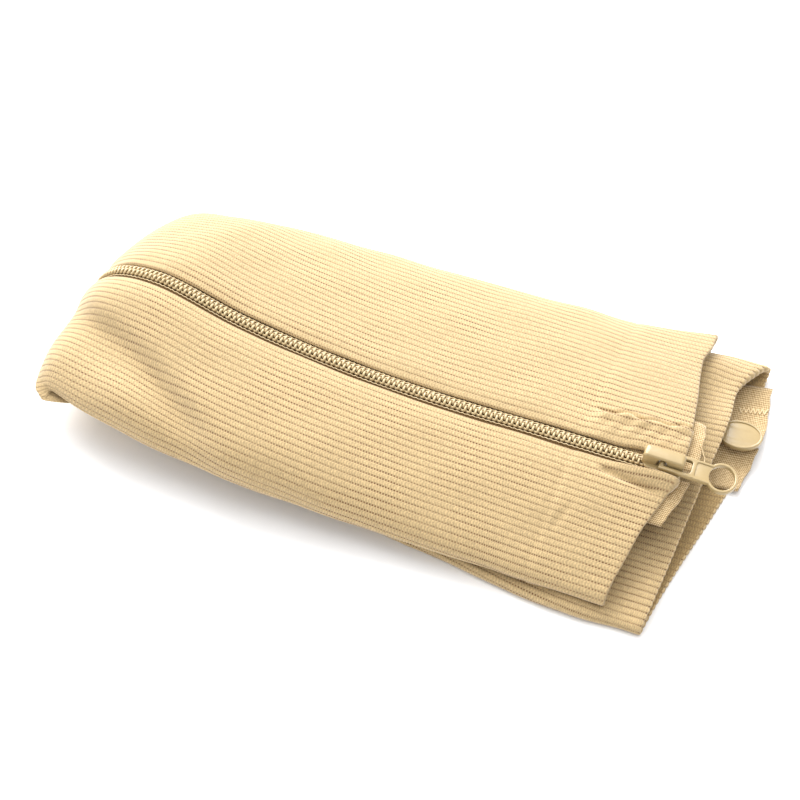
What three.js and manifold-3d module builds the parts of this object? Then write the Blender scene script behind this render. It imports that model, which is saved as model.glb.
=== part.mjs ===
// Zipper compression sock, folded once across its middle and lying with both mouths toward +X.
// Millimetres, +Z up, the table at z = 0. The cloth is one ribbed tube slit along its zipper; two
// woven tapes and two coil rows close the slit, with a slider and its pull near each mouth.
import * as THREE from "three";
import { mergeVertices } from "three/addons/utils/BufferGeometryUtils.js";
import Module from "manifold-3d";

// Cloth
const WALL = 1.0; // thickness of the rib knit
const HEM_EXTRA = 0.1; // added thickness of the turned hem at each mouth
const HEM_LENGTH = 24; // how far the upper hem reaches from its mouth
const LOWER_HEM = 34; // the same at the lower mouth
const CREASE = 1.7; // outside radius of the two side creases
const CREASE_EASE = 5; // how far from a crease a wall that is pushed in turns inward
const FIT = 0.3; // clearance between neighbouring pieces
// Zipper
const SLIT = 8.6; // width of the slit between the knit edges
const SLIT_FLARE = 0.3; // how much wider each side of the slit is at the upper mouth
const FLARE_LENGTH = 18; // length over which the slit flares
const GROOVE_REACH = 12; // how far from the zipper its groove reaches
const TAPE_INNER = 0.4; // tape edge under the coil, from the zipper's line
const TAPE_OUTER = 15.4; // tape edge under the knit
const TAPE_THICK = 0.8;
const TAPE_SPREAD = 1.7; // how far the tape edges part beyond each slider
const TAPE_END = 5; // tape left past the knit at each mouth
const COIL_WIDTH = 2.85; // one row of coil, from the zipper's line
const COIL_HEIGHT = 1.7;
const UPPER_SLIDER_INSET = 7; // slider centre to the knit's edge
const LOWER_SLIDER_INSET = 21;
// Sliders
const PLATE = { length: 12, rear: 7.4, front: 8.2, thick: 0.9, corner: 1.6, play: 0.45 };
const POST = { at: 3.9, long: 2.4, wide: 2.0 };
const COVER = { length: 13.2, at: -0.35, wide: 4.2, high: 4.9, corner: 1.7, slot: 1.5, slotUp: 1.4, pinUp: 1.15 };
const BRIDGE = { length: 9.6, at: 0, wide: 4.0, high: 2.8, corner: 1.4, slot: 1.0, slotUp: 1.3, pinUp: 1.3 };
// Pulls: the pin is the origin, the tab runs along +X
const RING_PULL = {
  pin: 0.8, pinAt: -0.6, thick: 1.5, window: 2.6, arm: 1.3, windowEnd: 9.1, neck: 3.7,
  ringAt: 18.9, ring: 5.1, hole: 4.15, rest: 1.5, panel: [10.5, 14.2, 2.8, 0.35],
};
const OVAL_PULL = {
  pin: 0.65, pinAt: -0.5, thick: 1.6, window: 2.4, arm: 1.3, windowEnd: 6.4, neck: 3.0,
  ovalAt: 17.6, ovalLong: 7.4, ovalWide: 6.0, rest: 2, panel: [5.4, 4.1, 0.4],
};

// One row a section, from the upper mouth round the fold to the lower mouth.
// zip: the zipper's line on the outer wall. front, back: the side creases.
// inner: the crest of the wall that faces the other half.
// full: how round the outer front, outer back and inner walls bow, 1 being a straight slope.
// groove: how deep the zipper lies in its wall. dent: depth of the hollow in the front wall.
const SECTIONS = [
  { zip: [96, 1.5, 21.8], front: [86, -45.5, 6.2], back: [86.5, 74, 9], inner: [84.5, 34, 12.5],
    full: [1.25, 1.3, 1.3], groove: 0.8, dent: 0 },
  { zip: [76, 0, 23.3], front: [66, -46.2, 6.4], back: [64, 68, 9], inner: [66, 32, 12.1],
    full: [1.7, 1.8, 1.3], groove: 0.9, dent: 0 },
  { zip: [46, -2.5, 23.5], front: [44, -47, 7.2], back: [40, 65, 10.2], inner: [42, 22, 10.4],
    full: [2.2, 2.3, 1.4], groove: 1, dent: 0.6 },
  { zip: [14, -5, 25], front: [13, -48.5, 8.8], back: [8, 62, 11.6], inner: [12, 14, 9.6],
    full: [2.4, 2.4, 1.5], groove: 1, dent: 1.2 },
  { zip: [-20, -6, 28], front: [-18, -50, 10.8], back: [-24, 60, 13], inner: [-20, 9, 9.8],
    full: [2.4, 2.4, 1.6], groove: 1, dent: 0.4 },
  { zip: [-55, -4, 32.5], front: [-52, -50.5, 13.2], back: [-55, 57, 15], inner: [-54, 6, 11],
    full: [2.3, 2.4, 1.7], groove: 1, dent: 1 },
  { zip: [-88, 1.5, 37], front: [-84, -47, 15.2], back: [-78, 52, 17], inner: [-82, 5, 13.6],
    full: [2, 2.3, 1.8], groove: 1, dent: 3 },
  { zip: [-106.5, 4, 31.5], front: [-107.7, -43.5, 16.8], back: [-94, 48, 18.2], inner: [-97, 5, 16.8],
    full: [1.9, 2.2, 1.05], groove: 1, dent: 2.4 },
  { zip: [-115, 5, 20.5], front: [-110.4, -42.5, 13.4], back: [-98, 46, 14.3], inner: [-99.5, 5, 14],
    full: [1.9, 2.2, 1.05], groove: 1, dent: 0.8 },
  { zip: [-107, 6, 8], front: [-107.7, -41.5, 10], back: [-94, 46, 10.2], inner: [-97, 6, 11.2],
    full: [1.9, 2.2, 1.05], groove: 1, dent: 0 },
  { zip: [-86, 9, 1.6], front: [-82, -35, 8], back: [-80, 48, 6], inner: [-82, 8, 9.8],
    full: [2, 2.3, 1.6], groove: 1, dent: 0 },
  { zip: [-50, 15, 0], front: [-50, -35, 3.6], back: [-50, 52, 2.6], inner: [-50, 10, 8.2],
    full: [2.4, 2.4, 1.4], groove: 1, dent: 0 },
  { zip: [-12, 21, 0], front: [-12, -40, 1.7], back: [-12, 57, 1.7], inner: [-12, 14, 7.6],
    full: [2.4, 2.4, 1.3], groove: 1, dent: 0 },
  { zip: [30, 28, 0], front: [30, -45.5, 1.7], back: [30, 62, 1.7], inner: [30, 20, 7.9],
    full: [2.4, 2.4, 1.2], groove: 1, dent: 0 },
  { zip: [70, 31.5, 0], front: [70, -49.5, 1.7], back: [70, 66, 1.7], inner: [70, 31, 10.6],
    full: [2.4, 2.4, 1.2], groove: 1.85, dent: 0 },
  { zip: [110, 36.5, 0], front: [99, -48.5, 1.7], back: [106.5, 71, 3], inner: [101.5, 34, 11.8],
    full: [2.4, 2.4, 1.2], groove: 2.75, dent: 0 },
];
const ROWS_BETWEEN = 3; // mesh rows between two sections
const RAIL_SPAN = 0.025; // how much of the sock each way sets the direction along it

const vec = (a) => new THREE.Vector3(...a);
const smooth = (t) => THREE.MathUtils.smoothstep(t, 0, 1);
const rail = (key) => new THREE.CatmullRomCurve3(SECTIONS.map((s) => vec(s[key])), false, "centripetal");
const RAILS = { zip: rail("zip"), front: rail("front"), back: rail("back"), inner: rail("inner"), full: rail("full") };
const DEPTHS = new THREE.CatmullRomCurve3(SECTIONS.map((s) => vec([s.groove, s.dent, 0])), false, "centripetal");

// The rails at u, from 0 at the upper mouth to 1 at the lower one.
const sectionCache = new Map();
function sectionAt(u) {
  if (sectionCache.has(u)) return sectionCache.get(u);
  const s = {};
  for (const [key, curve] of Object.entries(RAILS)) s[key] = curve.getPoint(u);
  const depths = DEPTHS.getPoint(u);
  s.groove = depths.x;
  s.dent = Math.max(depths.y, 0);
  s.axis = s.back.clone().sub(s.front).normalize();
  const from = Math.max(u - RAIL_SPAN, 0);
  const to = Math.min(u + RAIL_SPAN, 1);
  s.along = new THREE.Vector3();
  for (const key of ["zip", "front", "back", "inner"]) {
    s.along.add(RAILS[key].getPoint(to)).sub(RAILS[key].getPoint(from));
  }
  s.along.addScaledVector(s.axis, -s.along.dot(s.axis)).normalize();
  s.out = s.axis.clone().cross(s.along);
  sectionCache.set(u, s);
  return s;
}

// The four walls of a section; each runs from its crease (w = 0) to its crest (w = 1).
const OUTER_FRONT = { crease: "front", crest: "zip", full: "x", outer: true };
const OUTER_BACK = { crease: "back", crest: "zip", full: "y", outer: true };
const INNER_FRONT = { crease: "front", crest: "inner", full: "z", outer: false };
const INNER_BACK = { crease: "back", crest: "inner", full: "z", outer: false };
const opposite = (wall) => {
  if (wall.crease === "front") return wall.outer ? INNER_FRONT : OUTER_FRONT;
  return wall.outer ? INNER_BACK : OUTER_BACK;
};
const beside = (wall) => {
  if (wall.outer) return wall.crease === "front" ? OUTER_BACK : OUTER_FRONT;
  return wall.crease === "front" ? INNER_BACK : INNER_FRONT;
};

function footOf(s, wall) {
  const along = s[wall.crest].clone().sub(s.front).dot(s.axis);
  return s.front.clone().addScaledVector(s.axis, along);
}
const acrossOf = (u, wall) => {
  const s = sectionAt(u);
  return footOf(s, wall).distanceTo(s[wall.crease]);
};

// A point of the cloth's outside: w across one wall of the section at u. The wall rises out of the
// section's chord, and its crest may lie ahead of the chord along the sock. Cloth on the table lies flat.
function wallPoint(u, wall, w) {
  const s = sectionAt(u);
  const foot = footOf(s, wall);
  const toCrest = s[wall.crest].clone().sub(foot);
  const side = wall.outer ? 1 : -1;
  const height = toCrest.dot(s.out) * side;
  const across = foot.distanceTo(s[wall.crease]);
  const near = Math.min((w * across) / CREASE, 1);
  const n = s.full[wall.full];
  let rise = CREASE * Math.sqrt(1 - (1 - near) ** 2);
  const start = height < CREASE ? smooth((w * across) / CREASE_EASE) : 1;
  rise += (height - CREASE) * start * (1 - (1 - w) ** n) ** (1 / n);
  if (wall.outer) {
    const d = (1 - w) * across;
    if (d < GROOVE_REACH) rise -= s.groove * Math.cos((Math.PI * d) / 2 / GROOVE_REACH) ** 2;
    if (wall === OUTER_FRONT) rise -= s.dent * Math.sin(Math.PI * Math.min(w / 0.9, 1)) ** 2;
  }
  const p = s[wall.crease].clone().lerp(foot, w).addScaledVector(s.out, rise * side);
  p.addScaledVector(s.along, toCrest.dot(s.along) * smooth(w));
  p.z = Math.max(p.z, 0);
  return p;
}

// The cloth's outward direction there: along the sock crossed with round the section.
function wallNormal(u, wall, w) {
  const du = 1e-4;
  const dw = 0.03 / acrossOf(u, wall);
  const along = wallPoint(Math.min(u + du, 1), wall, w).sub(wallPoint(Math.max(u - du, 0), wall, w));
  let round;
  if (w < dw) round = wallPoint(u, wall, dw).sub(wallPoint(u, opposite(wall), dw));
  else if (w > 1 - dw) round = wallPoint(u, beside(wall), 1 - dw).sub(wallPoint(u, wall, 1 - dw));
  else round = wallPoint(u, wall, w + dw).sub(wallPoint(u, wall, w - dw));
  const turn = wall.outer === (wall.crease === "front") ? -1 : 1;
  return along.cross(round).multiplyScalar(turn).normalize();
}

// Lengths along the zipper, for the hems, the flare and the sliders.
const STEPS = 600;
const ZIP_LENGTHS = [0];
for (let i = 1; i <= STEPS; i++) {
  const step = RAILS.zip.getPoint(i / STEPS).distanceTo(RAILS.zip.getPoint((i - 1) / STEPS));
  ZIP_LENGTHS.push(ZIP_LENGTHS[i - 1] + step);
}
const ZIP_LENGTH = ZIP_LENGTHS[STEPS];
function lengthAt(u) {
  const i = Math.min(Math.floor(u * STEPS), STEPS - 1);
  return THREE.MathUtils.lerp(ZIP_LENGTHS[i], ZIP_LENGTHS[i + 1], u * STEPS - i);
}
function uAt(length) {
  const i = Math.max(ZIP_LENGTHS.findIndex((l) => l >= length), 1);
  const span = ZIP_LENGTHS[i] - ZIP_LENGTHS[i - 1];
  return (i - 1 + (length - ZIP_LENGTHS[i - 1]) / span) / STEPS;
}
const fromMouth = (u) => Math.min(lengthAt(u), ZIP_LENGTH - lengthAt(u));
const hemLength = (u) => (u < 0.5 ? HEM_LENGTH : LOWER_HEM);
const wallThick = (u) => WALL + HEM_EXTRA * smooth((hemLength(u) - fromMouth(u)) / 4);
const slitHalf = (u) => SLIT / 2 + SLIT_FLARE * smooth(1 - lengthAt(u) / FLARE_LENGTH);

// The zipper's own frame at u: x toward the nearer mouth, z out of the cloth.
function zipFrame(u, toLower) {
  const x = wallPoint(Math.min(u + 1e-4, 1), OUTER_FRONT, 1);
  x.sub(wallPoint(Math.max(u - 1e-4, 0), OUTER_FRONT, 1)).normalize();
  if (!toLower) x.negate();
  const z = sectionAt(u).out.clone();
  z.addScaledVector(x, -z.dot(x)).normalize();
  const y = z.clone().cross(x);
  return new THREE.Matrix4().makeBasis(x, y, z).setPosition(wallPoint(u, OUTER_FRONT, 1));
}
const zipOut = (u) => new THREE.Vector3().setFromMatrixColumn(zipFrame(u, false), 2);

// A closed sheet between two equal grids of points, outer and inner.
function slab(outer, inner) {
  const rows = outer.length;
  const cols = outer[0].length;
  const points = [...outer.flat(), ...inner.flat()];
  const o = (r, c) => r * cols + c;
  const i = (r, c) => rows * cols + r * cols + c;
  const index = [];
  const quad = (a, b, c, d) => index.push(a, b, c, a, c, d);
  for (let r = 0; r < rows - 1; r++) {
    for (let c = 0; c < cols - 1; c++) {
      quad(o(r, c), o(r + 1, c), o(r + 1, c + 1), o(r, c + 1));
      quad(i(r, c), i(r, c + 1), i(r + 1, c + 1), i(r + 1, c));
    }
    quad(o(r, 0), i(r, 0), i(r + 1, 0), o(r + 1, 0));
    quad(o(r, cols - 1), o(r + 1, cols - 1), i(r + 1, cols - 1), i(r, cols - 1));
  }
  for (let c = 0; c < cols - 1; c++) {
    quad(o(0, c), o(0, c + 1), i(0, c + 1), i(0, c));
    quad(o(rows - 1, c), i(rows - 1, c), i(rows - 1, c + 1), o(rows - 1, c + 1));
  }
  const g = new THREE.BufferGeometry();
  g.setAttribute("position", new THREE.Float32BufferAttribute(points.flatMap((p) => p.toArray()), 3));
  return g.setIndex(index);
}

const ROW_COUNT = (SECTIONS.length - 1) * ROWS_BETWEEN;
const U_ROWS = Array.from({ length: ROW_COUNT + 1 }, (_, i) => i / ROW_COUNT);

// Knit leg
const NEAR_ZIP = [7.5, GROOVE_REACH]; // columns at these distances from the zipper's line
const NEAR_CREASE = [2.5, 1, 0.5, 0.13].map((k) => k * CREASE); // and from a crease
const BETWEEN = [0.2, 0.4, 0.6, 0.8];
const INNER_BETWEEN = [0.2, 0.45, 0.72];
function outerColumns(u, wall) {
  const across = acrossOf(u, wall);
  const from = [slitHalf(u), ...NEAR_ZIP].map((d) => 1 - d / across);
  const to = NEAR_CREASE.map((y) => y / across);
  const mid = BETWEEN.map((f) => THREE.MathUtils.lerp(from.at(-1), to[0], f));
  return [...from, ...mid, ...to].map((w) => ({ wall, w }));
}
function innerColumns(u, wall) {
  const near = NEAR_CREASE.map((y) => y / acrossOf(u, wall));
  const mid = INNER_BETWEEN.map((f) => THREE.MathUtils.lerp(near[0], 1, f));
  return [...near.reverse(), ...mid].map((w) => ({ wall, w }));
}
function knitColumns(u) {
  return [
    ...outerColumns(u, OUTER_FRONT),
    { wall: OUTER_FRONT, w: 0 },
    ...innerColumns(u, INNER_FRONT),
    { wall: INNER_FRONT, w: 1 },
    ...innerColumns(u, INNER_BACK).reverse(),
    { wall: OUTER_BACK, w: 0 },
    ...outerColumns(u, OUTER_BACK).reverse(),
  ];
}
function knitLeg() {
  const outside = [];
  const inside = [];
  for (const u of U_ROWS) {
    const columns = knitColumns(u);
    const points = columns.map(({ wall, w }) => wallPoint(u, wall, w));
    outside.push(points);
    inside.push(points.map((p, c) => {
      const n = wallNormal(u, columns[c].wall, columns[c].w);
      return p.clone().addScaledVector(n, -wallThick(u));
    }));
  }
  return slab(outside, inside);
}

// A point beside the zipper's line: d across, depth below the cloth's outside, past the mouth if asked.
function stripPoint(u, wall, d, depth, past) {
  const w = 1 - d / acrossOf(u, wall);
  const out = zipOut(u).lerp(wallNormal(u, wall, Math.min(w, 0.999)), smooth((d - 3) / 5)).normalize();
  const p = wallPoint(u, wall, w).addScaledVector(out, -depth);
  if (!past) return p;
  const x = new THREE.Vector3().setFromMatrixColumn(zipFrame(u, u > 0.5), 0);
  return p.addScaledVector(x, past);
}
function strip(rows, wall, columns) {
  const outer = rows.map(({ u, past }) => columns.map((c) => stripPoint(u, wall, c.d(u), c.top(u), past)));
  const inner = rows.map(({ u, past }) => columns.map((c) => stripPoint(u, wall, c.d(u), c.bottom(u), past)));
  if (wall === OUTER_FRONT) return slab(outer, inner);
  return slab(outer.map((r) => r.toReversed()), inner.map((r) => r.toReversed()));
}

// Woven tapes under the knit, and the coil rows on them
const tapeTop = (u) => wallThick(u) + FIT;
const tapeBottom = (u) => tapeTop(u) + TAPE_THICK;
const sliderInset = (u) => (u < 0.5 ? UPPER_SLIDER_INSET : LOWER_SLIDER_INSET);
const tapeEdge = (u) => TAPE_INNER + TAPE_SPREAD * smooth((sliderInset(u) - 0.6 - fromMouth(u)) / 1.8);
function zipperTape(wall) {
  const atSliders = [0.6, 1.5, 2.4].flatMap((k) => [
    uAt(UPPER_SLIDER_INSET - k),
    uAt(ZIP_LENGTH - LOWER_SLIDER_INSET + k),
  ]);
  const rows = [...U_ROWS, ...atSliders].sort((a, b) => a - b).map((u) => ({ u, past: 0 }));
  for (const past of [TAPE_END / 2, TAPE_END]) {
    rows.unshift({ u: 0, past });
    rows.push({ u: 1, past });
  }
  const reach = [tapeEdge, () => 3, () => NEAR_ZIP[0], () => NEAR_ZIP[1], () => TAPE_OUTER];
  return strip(rows, wall, reach.map((d) => ({ d, top: tapeTop, bottom: tapeBottom })));
}
const uUpperSlider = uAt(UPPER_SLIDER_INSET);
const uLowerSlider = uAt(ZIP_LENGTH - LOWER_SLIDER_INSET);
function coilRow(wall) {
  const from = uAt(UPPER_SLIDER_INSET - 1);
  const to = uAt(ZIP_LENGTH - LOWER_SLIDER_INSET + 1);
  const between = U_ROWS.filter((u) => u > from + 0.004 && u < to - 0.004);
  const rows = [from, ...between, to].map((u) => ({ u, past: 0 }));
  const bottom = (u) => tapeTop(u) - FIT;
  const crown = [[FIT / 2, 0.6], [0.7, 1], [2.2, 1], [COIL_WIDTH, 0.55]];
  const columns = crown.map(([d, k]) => ({ d: () => d, top: (u) => bottom(u) - COIL_HEIGHT * k, bottom }));
  return strip(rows, wall, columns);
}

// Solids that are joined and cut
const wasm = await Module();
wasm.setup();
function solid(geometry) {
  const bare = new THREE.BufferGeometry().setAttribute("position", geometry.getAttribute("position"));
  if (geometry.index) bare.setIndex(geometry.index);
  const g = mergeVertices(bare, 1e-4);
  const mesh = { numProp: 3, vertProperties: g.attributes.position.array, triVerts: new Uint32Array(g.index.array) };
  return new wasm.Manifold(new wasm.Mesh(mesh));
}
function geometryOf(made) {
  const mesh = made.getMesh();
  const g = new THREE.BufferGeometry();
  g.setAttribute("position", new THREE.BufferAttribute(mesh.vertProperties, 3));
  return g.setIndex(new THREE.BufferAttribute(mesh.triVerts, 1));
}
const ROUND = 4; // segments of a rounded corner or a quarter of a ring
function plate(shape, from, to, bevel = 0) {
  const options = { depth: to - from - 2 * bevel, curveSegments: ROUND, bevelEnabled: bevel > 0 };
  Object.assign(options, { bevelSize: bevel, bevelThickness: bevel, bevelOffset: -bevel, bevelSegments: 1 });
  return new THREE.ExtrudeGeometry(shape, options).translate(0, 0, from + bevel);
}
// A four-sided outline with rounded corners: its width at the rear and at the front may differ.
function tapered(long, rear, front, corner, middle = 0) {
  const x = long / 2;
  const corners = [[-x, -rear / 2], [x, -front / 2], [x, front / 2], [-x, rear / 2]];
  const points = corners.map(([a, b]) => new THREE.Vector2(a + middle, b));
  const shape = new THREE.Shape();
  points.forEach((p, k) => {
    const before = points[(k + 3) % 4].clone().sub(p).setLength(corner).add(p);
    const after = points[(k + 1) % 4].clone().sub(p).setLength(corner).add(p);
    if (k === 0) shape.moveTo(before.x, before.y);
    else shape.lineTo(before.x, before.y);
    shape.quadraticCurveTo(p.x, p.y, after.x, after.y);
  });
  return shape;
}
const rod = (radius, length) => new THREE.CylinderGeometry(radius, radius, length, 16);

// A slider in the zipper's frame. side is 1 with the bridge outside the cloth, -1 inside.
function sliderBody(u, bridge, side) {
  const top = COIL_HEIGHT - tapeTop(u) + FIT + PLATE.play;
  const low = -tapeBottom(u) - PLATE.play;
  const outline = tapered(PLATE.length, PLATE.rear, PLATE.front, PLATE.corner);
  const post = tapered(POST.long, POST.wide, POST.wide, 0.6, POST.at);
  const base = side > 0 ? top + PLATE.thick : low - PLATE.thick;
  const cap = tapered(bridge.length, bridge.wide, bridge.wide, bridge.corner, bridge.at);
  const ends = side > 0 ? [base - 0.3, base + bridge.high] : [base - bridge.high, base + 0.3];
  const slotAt = base + side * bridge.slotUp;
  const pinAt = base + side * bridge.pinUp;
  let body = solid(plate(outline, top, top + PLATE.thick, 0.25));
  body = body.add(solid(plate(outline, low - PLATE.thick, low, 0.25)));
  body = body.add(solid(plate(post, low - 0.4, top + 0.4)));
  body = body.add(solid(plate(cap, ends[0], ends[1], 0.45)));
  const pinX = side > 0 ? RING_PULL.pinAt : OVAL_PULL.pinAt;
  body = body.subtract(solid(rod(bridge.slot, bridge.wide + 4).translate(pinX, 0, slotAt)));
  return { geometry: geometryOf(body), pin: new THREE.Vector3(pinX, 0, pinAt) };
}

// The eye of a pull straddles the slider's bridge and closes round its pin.
function eyeOutline(p, tail) {
  const half = p.window + p.arm;
  const shape = new THREE.Shape();
  shape.moveTo(-p.pin, -half);
  shape.lineTo(p.windowEnd - 1, -half);
  tail(shape, half);
  shape.lineTo(-p.pin, half);
  shape.closePath();
  return shape;
}
function pullSolid(p, shape, holes, panel) {
  const half = p.thick / 2;
  let body = solid(plate(shape, -half, half, 0.3));
  const wide = 2 * (p.window + p.arm);
  const rear = -p.pin - 3;
  const window = tapered(p.windowEnd - rear, 2 * p.window, 2 * p.window, 1.2, (p.windowEnd + rear) / 2);
  body = body.subtract(solid(plate(window, -4, 4)));
  body = body.add(solid(rod(p.pin, wide - 0.8)));
  for (const hole of holes) body = body.subtract(solid(plate(hole, -4, 4)));
  const depth = panel.at(-1);
  body = body.subtract(solid(plate(panel[0], half - depth, half + 2)));
  return geometryOf(body);
}
function circlePath(x, y, rx, ry) {
  const shape = new THREE.Shape();
  shape.absellipse(x, y, rx, ry, 0, 2 * Math.PI);
  return shape;
}
function ringPull() {
  const p = RING_PULL;
  const shape = eyeOutline(p, (s, half) => {
    const spread = Math.asin(p.neck / p.ring);
    s.quadraticCurveTo(p.windowEnd + 1.5, -half, p.windowEnd + 2.5, -p.neck);
    s.lineTo(p.ringAt - p.ring * Math.cos(spread), -p.neck);
    s.absarc(p.ringAt, 0, p.ring, Math.PI + spread, Math.PI - spread, false);
    s.lineTo(p.windowEnd + 2.5, p.neck);
    s.quadraticCurveTo(p.windowEnd + 1.5, half, p.windowEnd - 1, half);
  });
  const [from, to, half, depth] = p.panel;
  const recess = tapered(to - from, 2 * half, 2 * half, 0.8, (from + to) / 2);
  return pullSolid(p, shape, [circlePath(p.ringAt, 0, p.hole, p.hole)], [recess, depth]);
}
function ovalPull() {
  const p = OVAL_PULL;
  const shape = eyeOutline(p, (s, half) => {
    const spread = Math.asin(p.neck / p.ovalWide);
    s.quadraticCurveTo(p.windowEnd + 1, -half, p.windowEnd + 2, -p.neck);
    s.lineTo(p.ovalAt - p.ovalLong * Math.cos(spread), -p.neck);
    s.absellipse(p.ovalAt, 0, p.ovalLong, p.ovalWide, Math.PI + spread, Math.PI - spread, false);
    s.lineTo(p.windowEnd + 2, p.neck);
    s.quadraticCurveTo(p.windowEnd + 1, half, p.windowEnd - 1, half);
  });
  const [long, wide, depth] = p.panel;
  return pullSolid(p, shape, [], [circlePath(p.ovalAt, 0, long, wide), depth]);
}

// Placed pieces
const upperFrame = zipFrame(uUpperSlider, false);
const lowerFrame = zipFrame(uLowerSlider, true);
const upperSlider = sliderBody(uUpperSlider, COVER, 1);
const lowerSlider = sliderBody(uLowerSlider, BRIDGE, -1);
function hung(geometry, frame, pin, rest, turn) {
  const tilt = new THREE.Matrix4().makeRotationY(THREE.MathUtils.degToRad(rest));
  if (turn) tilt.premultiply(new THREE.Matrix4().makeRotationX(Math.PI));
  const at = new THREE.Matrix4().makeTranslation(pin.x, pin.y, pin.z);
  return geometry.applyMatrix4(frame.clone().multiply(at).multiply(tilt));
}
const hingeOf = (frame, pin, turn) => ({
  at: pin.clone().applyMatrix4(frame),
  axis: new THREE.Vector3().setFromMatrixColumn(frame, 1).multiplyScalar(turn ? 1 : -1),
});

const cloth = new THREE.MeshStandardMaterial({ color: 0xe3c893, roughness: 0.9 });
const woven = new THREE.MeshStandardMaterial({ color: 0xcdb383, roughness: 0.9 });
const nylon = new THREE.MeshStandardMaterial({ color: 0xd2b784, roughness: 0.5 });
const enamel = new THREE.MeshStandardMaterial({ color: 0xd9c394, roughness: 0.4, metalness: 0.1 });

const sock = new THREE.Group();
function piece(name, geometry, material) {
  const mesh = new THREE.Mesh(geometry, material);
  mesh.name = name;
  sock.add(mesh);
  return mesh;
}
piece("knit_leg", knitLeg(), cloth);
piece("zipper_tape_front", zipperTape(OUTER_FRONT), woven);
piece("zipper_tape_back", zipperTape(OUTER_BACK), woven);
piece("zipper_coil_front", coilRow(OUTER_FRONT), nylon);
piece("zipper_coil_back", coilRow(OUTER_BACK), nylon);
piece("slider_body", upperSlider.geometry.applyMatrix4(upperFrame), enamel);
piece("lower_slider_body", lowerSlider.geometry.applyMatrix4(lowerFrame), enamel);
const upperPull = piece("slider_pull", hung(ringPull(), upperFrame, upperSlider.pin, RING_PULL.rest, false), enamel);
const lowerPull = piece("lower_slider_pull", hung(ovalPull(), lowerFrame, lowerSlider.pin, OVAL_PULL.rest, true), enamel);

// The origin is the middle of the footprint, on the table.
const box = new THREE.Box3().setFromObject(sock);
const shift = new THREE.Vector3((box.min.x + box.max.x) / -2, (box.min.y + box.max.y) / -2, -box.min.z);
for (const mesh of sock.children) mesh.geometry.translate(shift.x, shift.y, shift.z);
const upperHinge = hingeOf(upperFrame, upperSlider.pin, false);
const lowerHinge = hingeOf(lowerFrame, lowerSlider.pin, true);
upperPull.userData = { at: upperHinge.at.add(shift).toArray(), axis: upperHinge.axis.toArray() };
lowerPull.userData = { at: lowerHinge.at.add(shift).toArray(), axis: lowerHinge.axis.toArray() };
sock.userData = { shift: shift.toArray(), zipLength: ZIP_LENGTH };

export default sock;
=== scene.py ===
"""Zipper compression sock, folded once and lying with both mouths toward +X.

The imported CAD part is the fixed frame. This script dresses it: the rib knit with its real ribs and
puckers, the woven zipper tapes, the coiled teeth, the enamelled sliders and pulls, and the studio.
Lengths inside the classes are millimetres, and meshes are made in metres.
"""

import logging
import math
from dataclasses import dataclass, field
from enum import Enum

import bmesh
import bpy
import numpy as np
from mathutils import Matrix, Vector


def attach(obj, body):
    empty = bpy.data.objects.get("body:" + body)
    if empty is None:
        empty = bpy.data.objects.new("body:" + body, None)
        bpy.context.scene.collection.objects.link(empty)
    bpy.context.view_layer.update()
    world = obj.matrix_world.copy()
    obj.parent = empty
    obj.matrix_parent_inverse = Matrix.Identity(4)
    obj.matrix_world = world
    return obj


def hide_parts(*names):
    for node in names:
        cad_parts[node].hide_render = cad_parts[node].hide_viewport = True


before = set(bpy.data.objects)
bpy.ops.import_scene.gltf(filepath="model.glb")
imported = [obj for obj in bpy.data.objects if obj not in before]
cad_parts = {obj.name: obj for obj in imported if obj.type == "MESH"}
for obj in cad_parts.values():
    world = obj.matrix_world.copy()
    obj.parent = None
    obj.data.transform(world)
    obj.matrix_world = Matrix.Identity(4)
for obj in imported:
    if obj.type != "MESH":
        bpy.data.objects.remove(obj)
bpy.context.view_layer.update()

log = logging.getLogger("sock")
MM = 0.001
CENTRE = np.array((0.583, -11.6592, 0.0))  # the shift that centres the CAD part on its footprint
CLEARANCE = 0.02  # between the lowest cloth and the table


class Side(Enum):
    """The two sides of the zipper."""

    FRONT = "front"
    BACK = "back"


class Face(Enum):
    """The two walls of the flattened tube: one holds the zipper, one faces the other half."""

    OUTER = "outer"
    INNER = "inner"


class Slot(Enum):
    """The material slots of the record."""

    KNIT = "rib_knit"
    TAPE = "woven_tape"
    COIL = "nylon_coil"
    METAL = "enamelled_metal"


class Body(Enum):
    """The CAD bodies that pieces ride on."""

    SOCK = "sock"
    UPPER_PULL = "upper_pull"
    LOWER_PULL = "lower_pull"


# Shared helpers


def smooth(t: np.ndarray) -> np.ndarray:
    """A soft step from 0 to 1."""
    t = np.clip(t, 0.0, 1.0)
    return t * t * (3.0 - 2.0 * t)


def bell(x: np.ndarray, width: float) -> np.ndarray:
    """A round bump of height 1 and the given half width."""
    return np.exp(-0.5 * (x / width) ** 2)


def unit(v: np.ndarray) -> np.ndarray:
    """The vectors of the last axis at length 1."""
    return v / np.maximum(np.linalg.norm(v, axis=-1, keepdims=True), 1e-12)


def dot(a: np.ndarray, b: np.ndarray) -> np.ndarray:
    """The dot product over the last axis, which is kept."""
    return np.sum(a * b, axis=-1, keepdims=True)


def linear(code: str) -> tuple[float, float, float, float]:
    """Turns an sRGB hex colour into linear RGBA.

    Args:
        code: Six hex digits after a hash sign.

    Returns:
        Red, green, blue and an alpha of 1.
    """
    values = [int(code[i : i + 2], 16) / 255 for i in (1, 3, 5)]
    red, green, blue = (v / 12.92 if v <= 0.04045 else ((v + 0.055) / 1.055) ** 2.4 for v in values)
    return red, green, blue, 1.0


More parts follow.
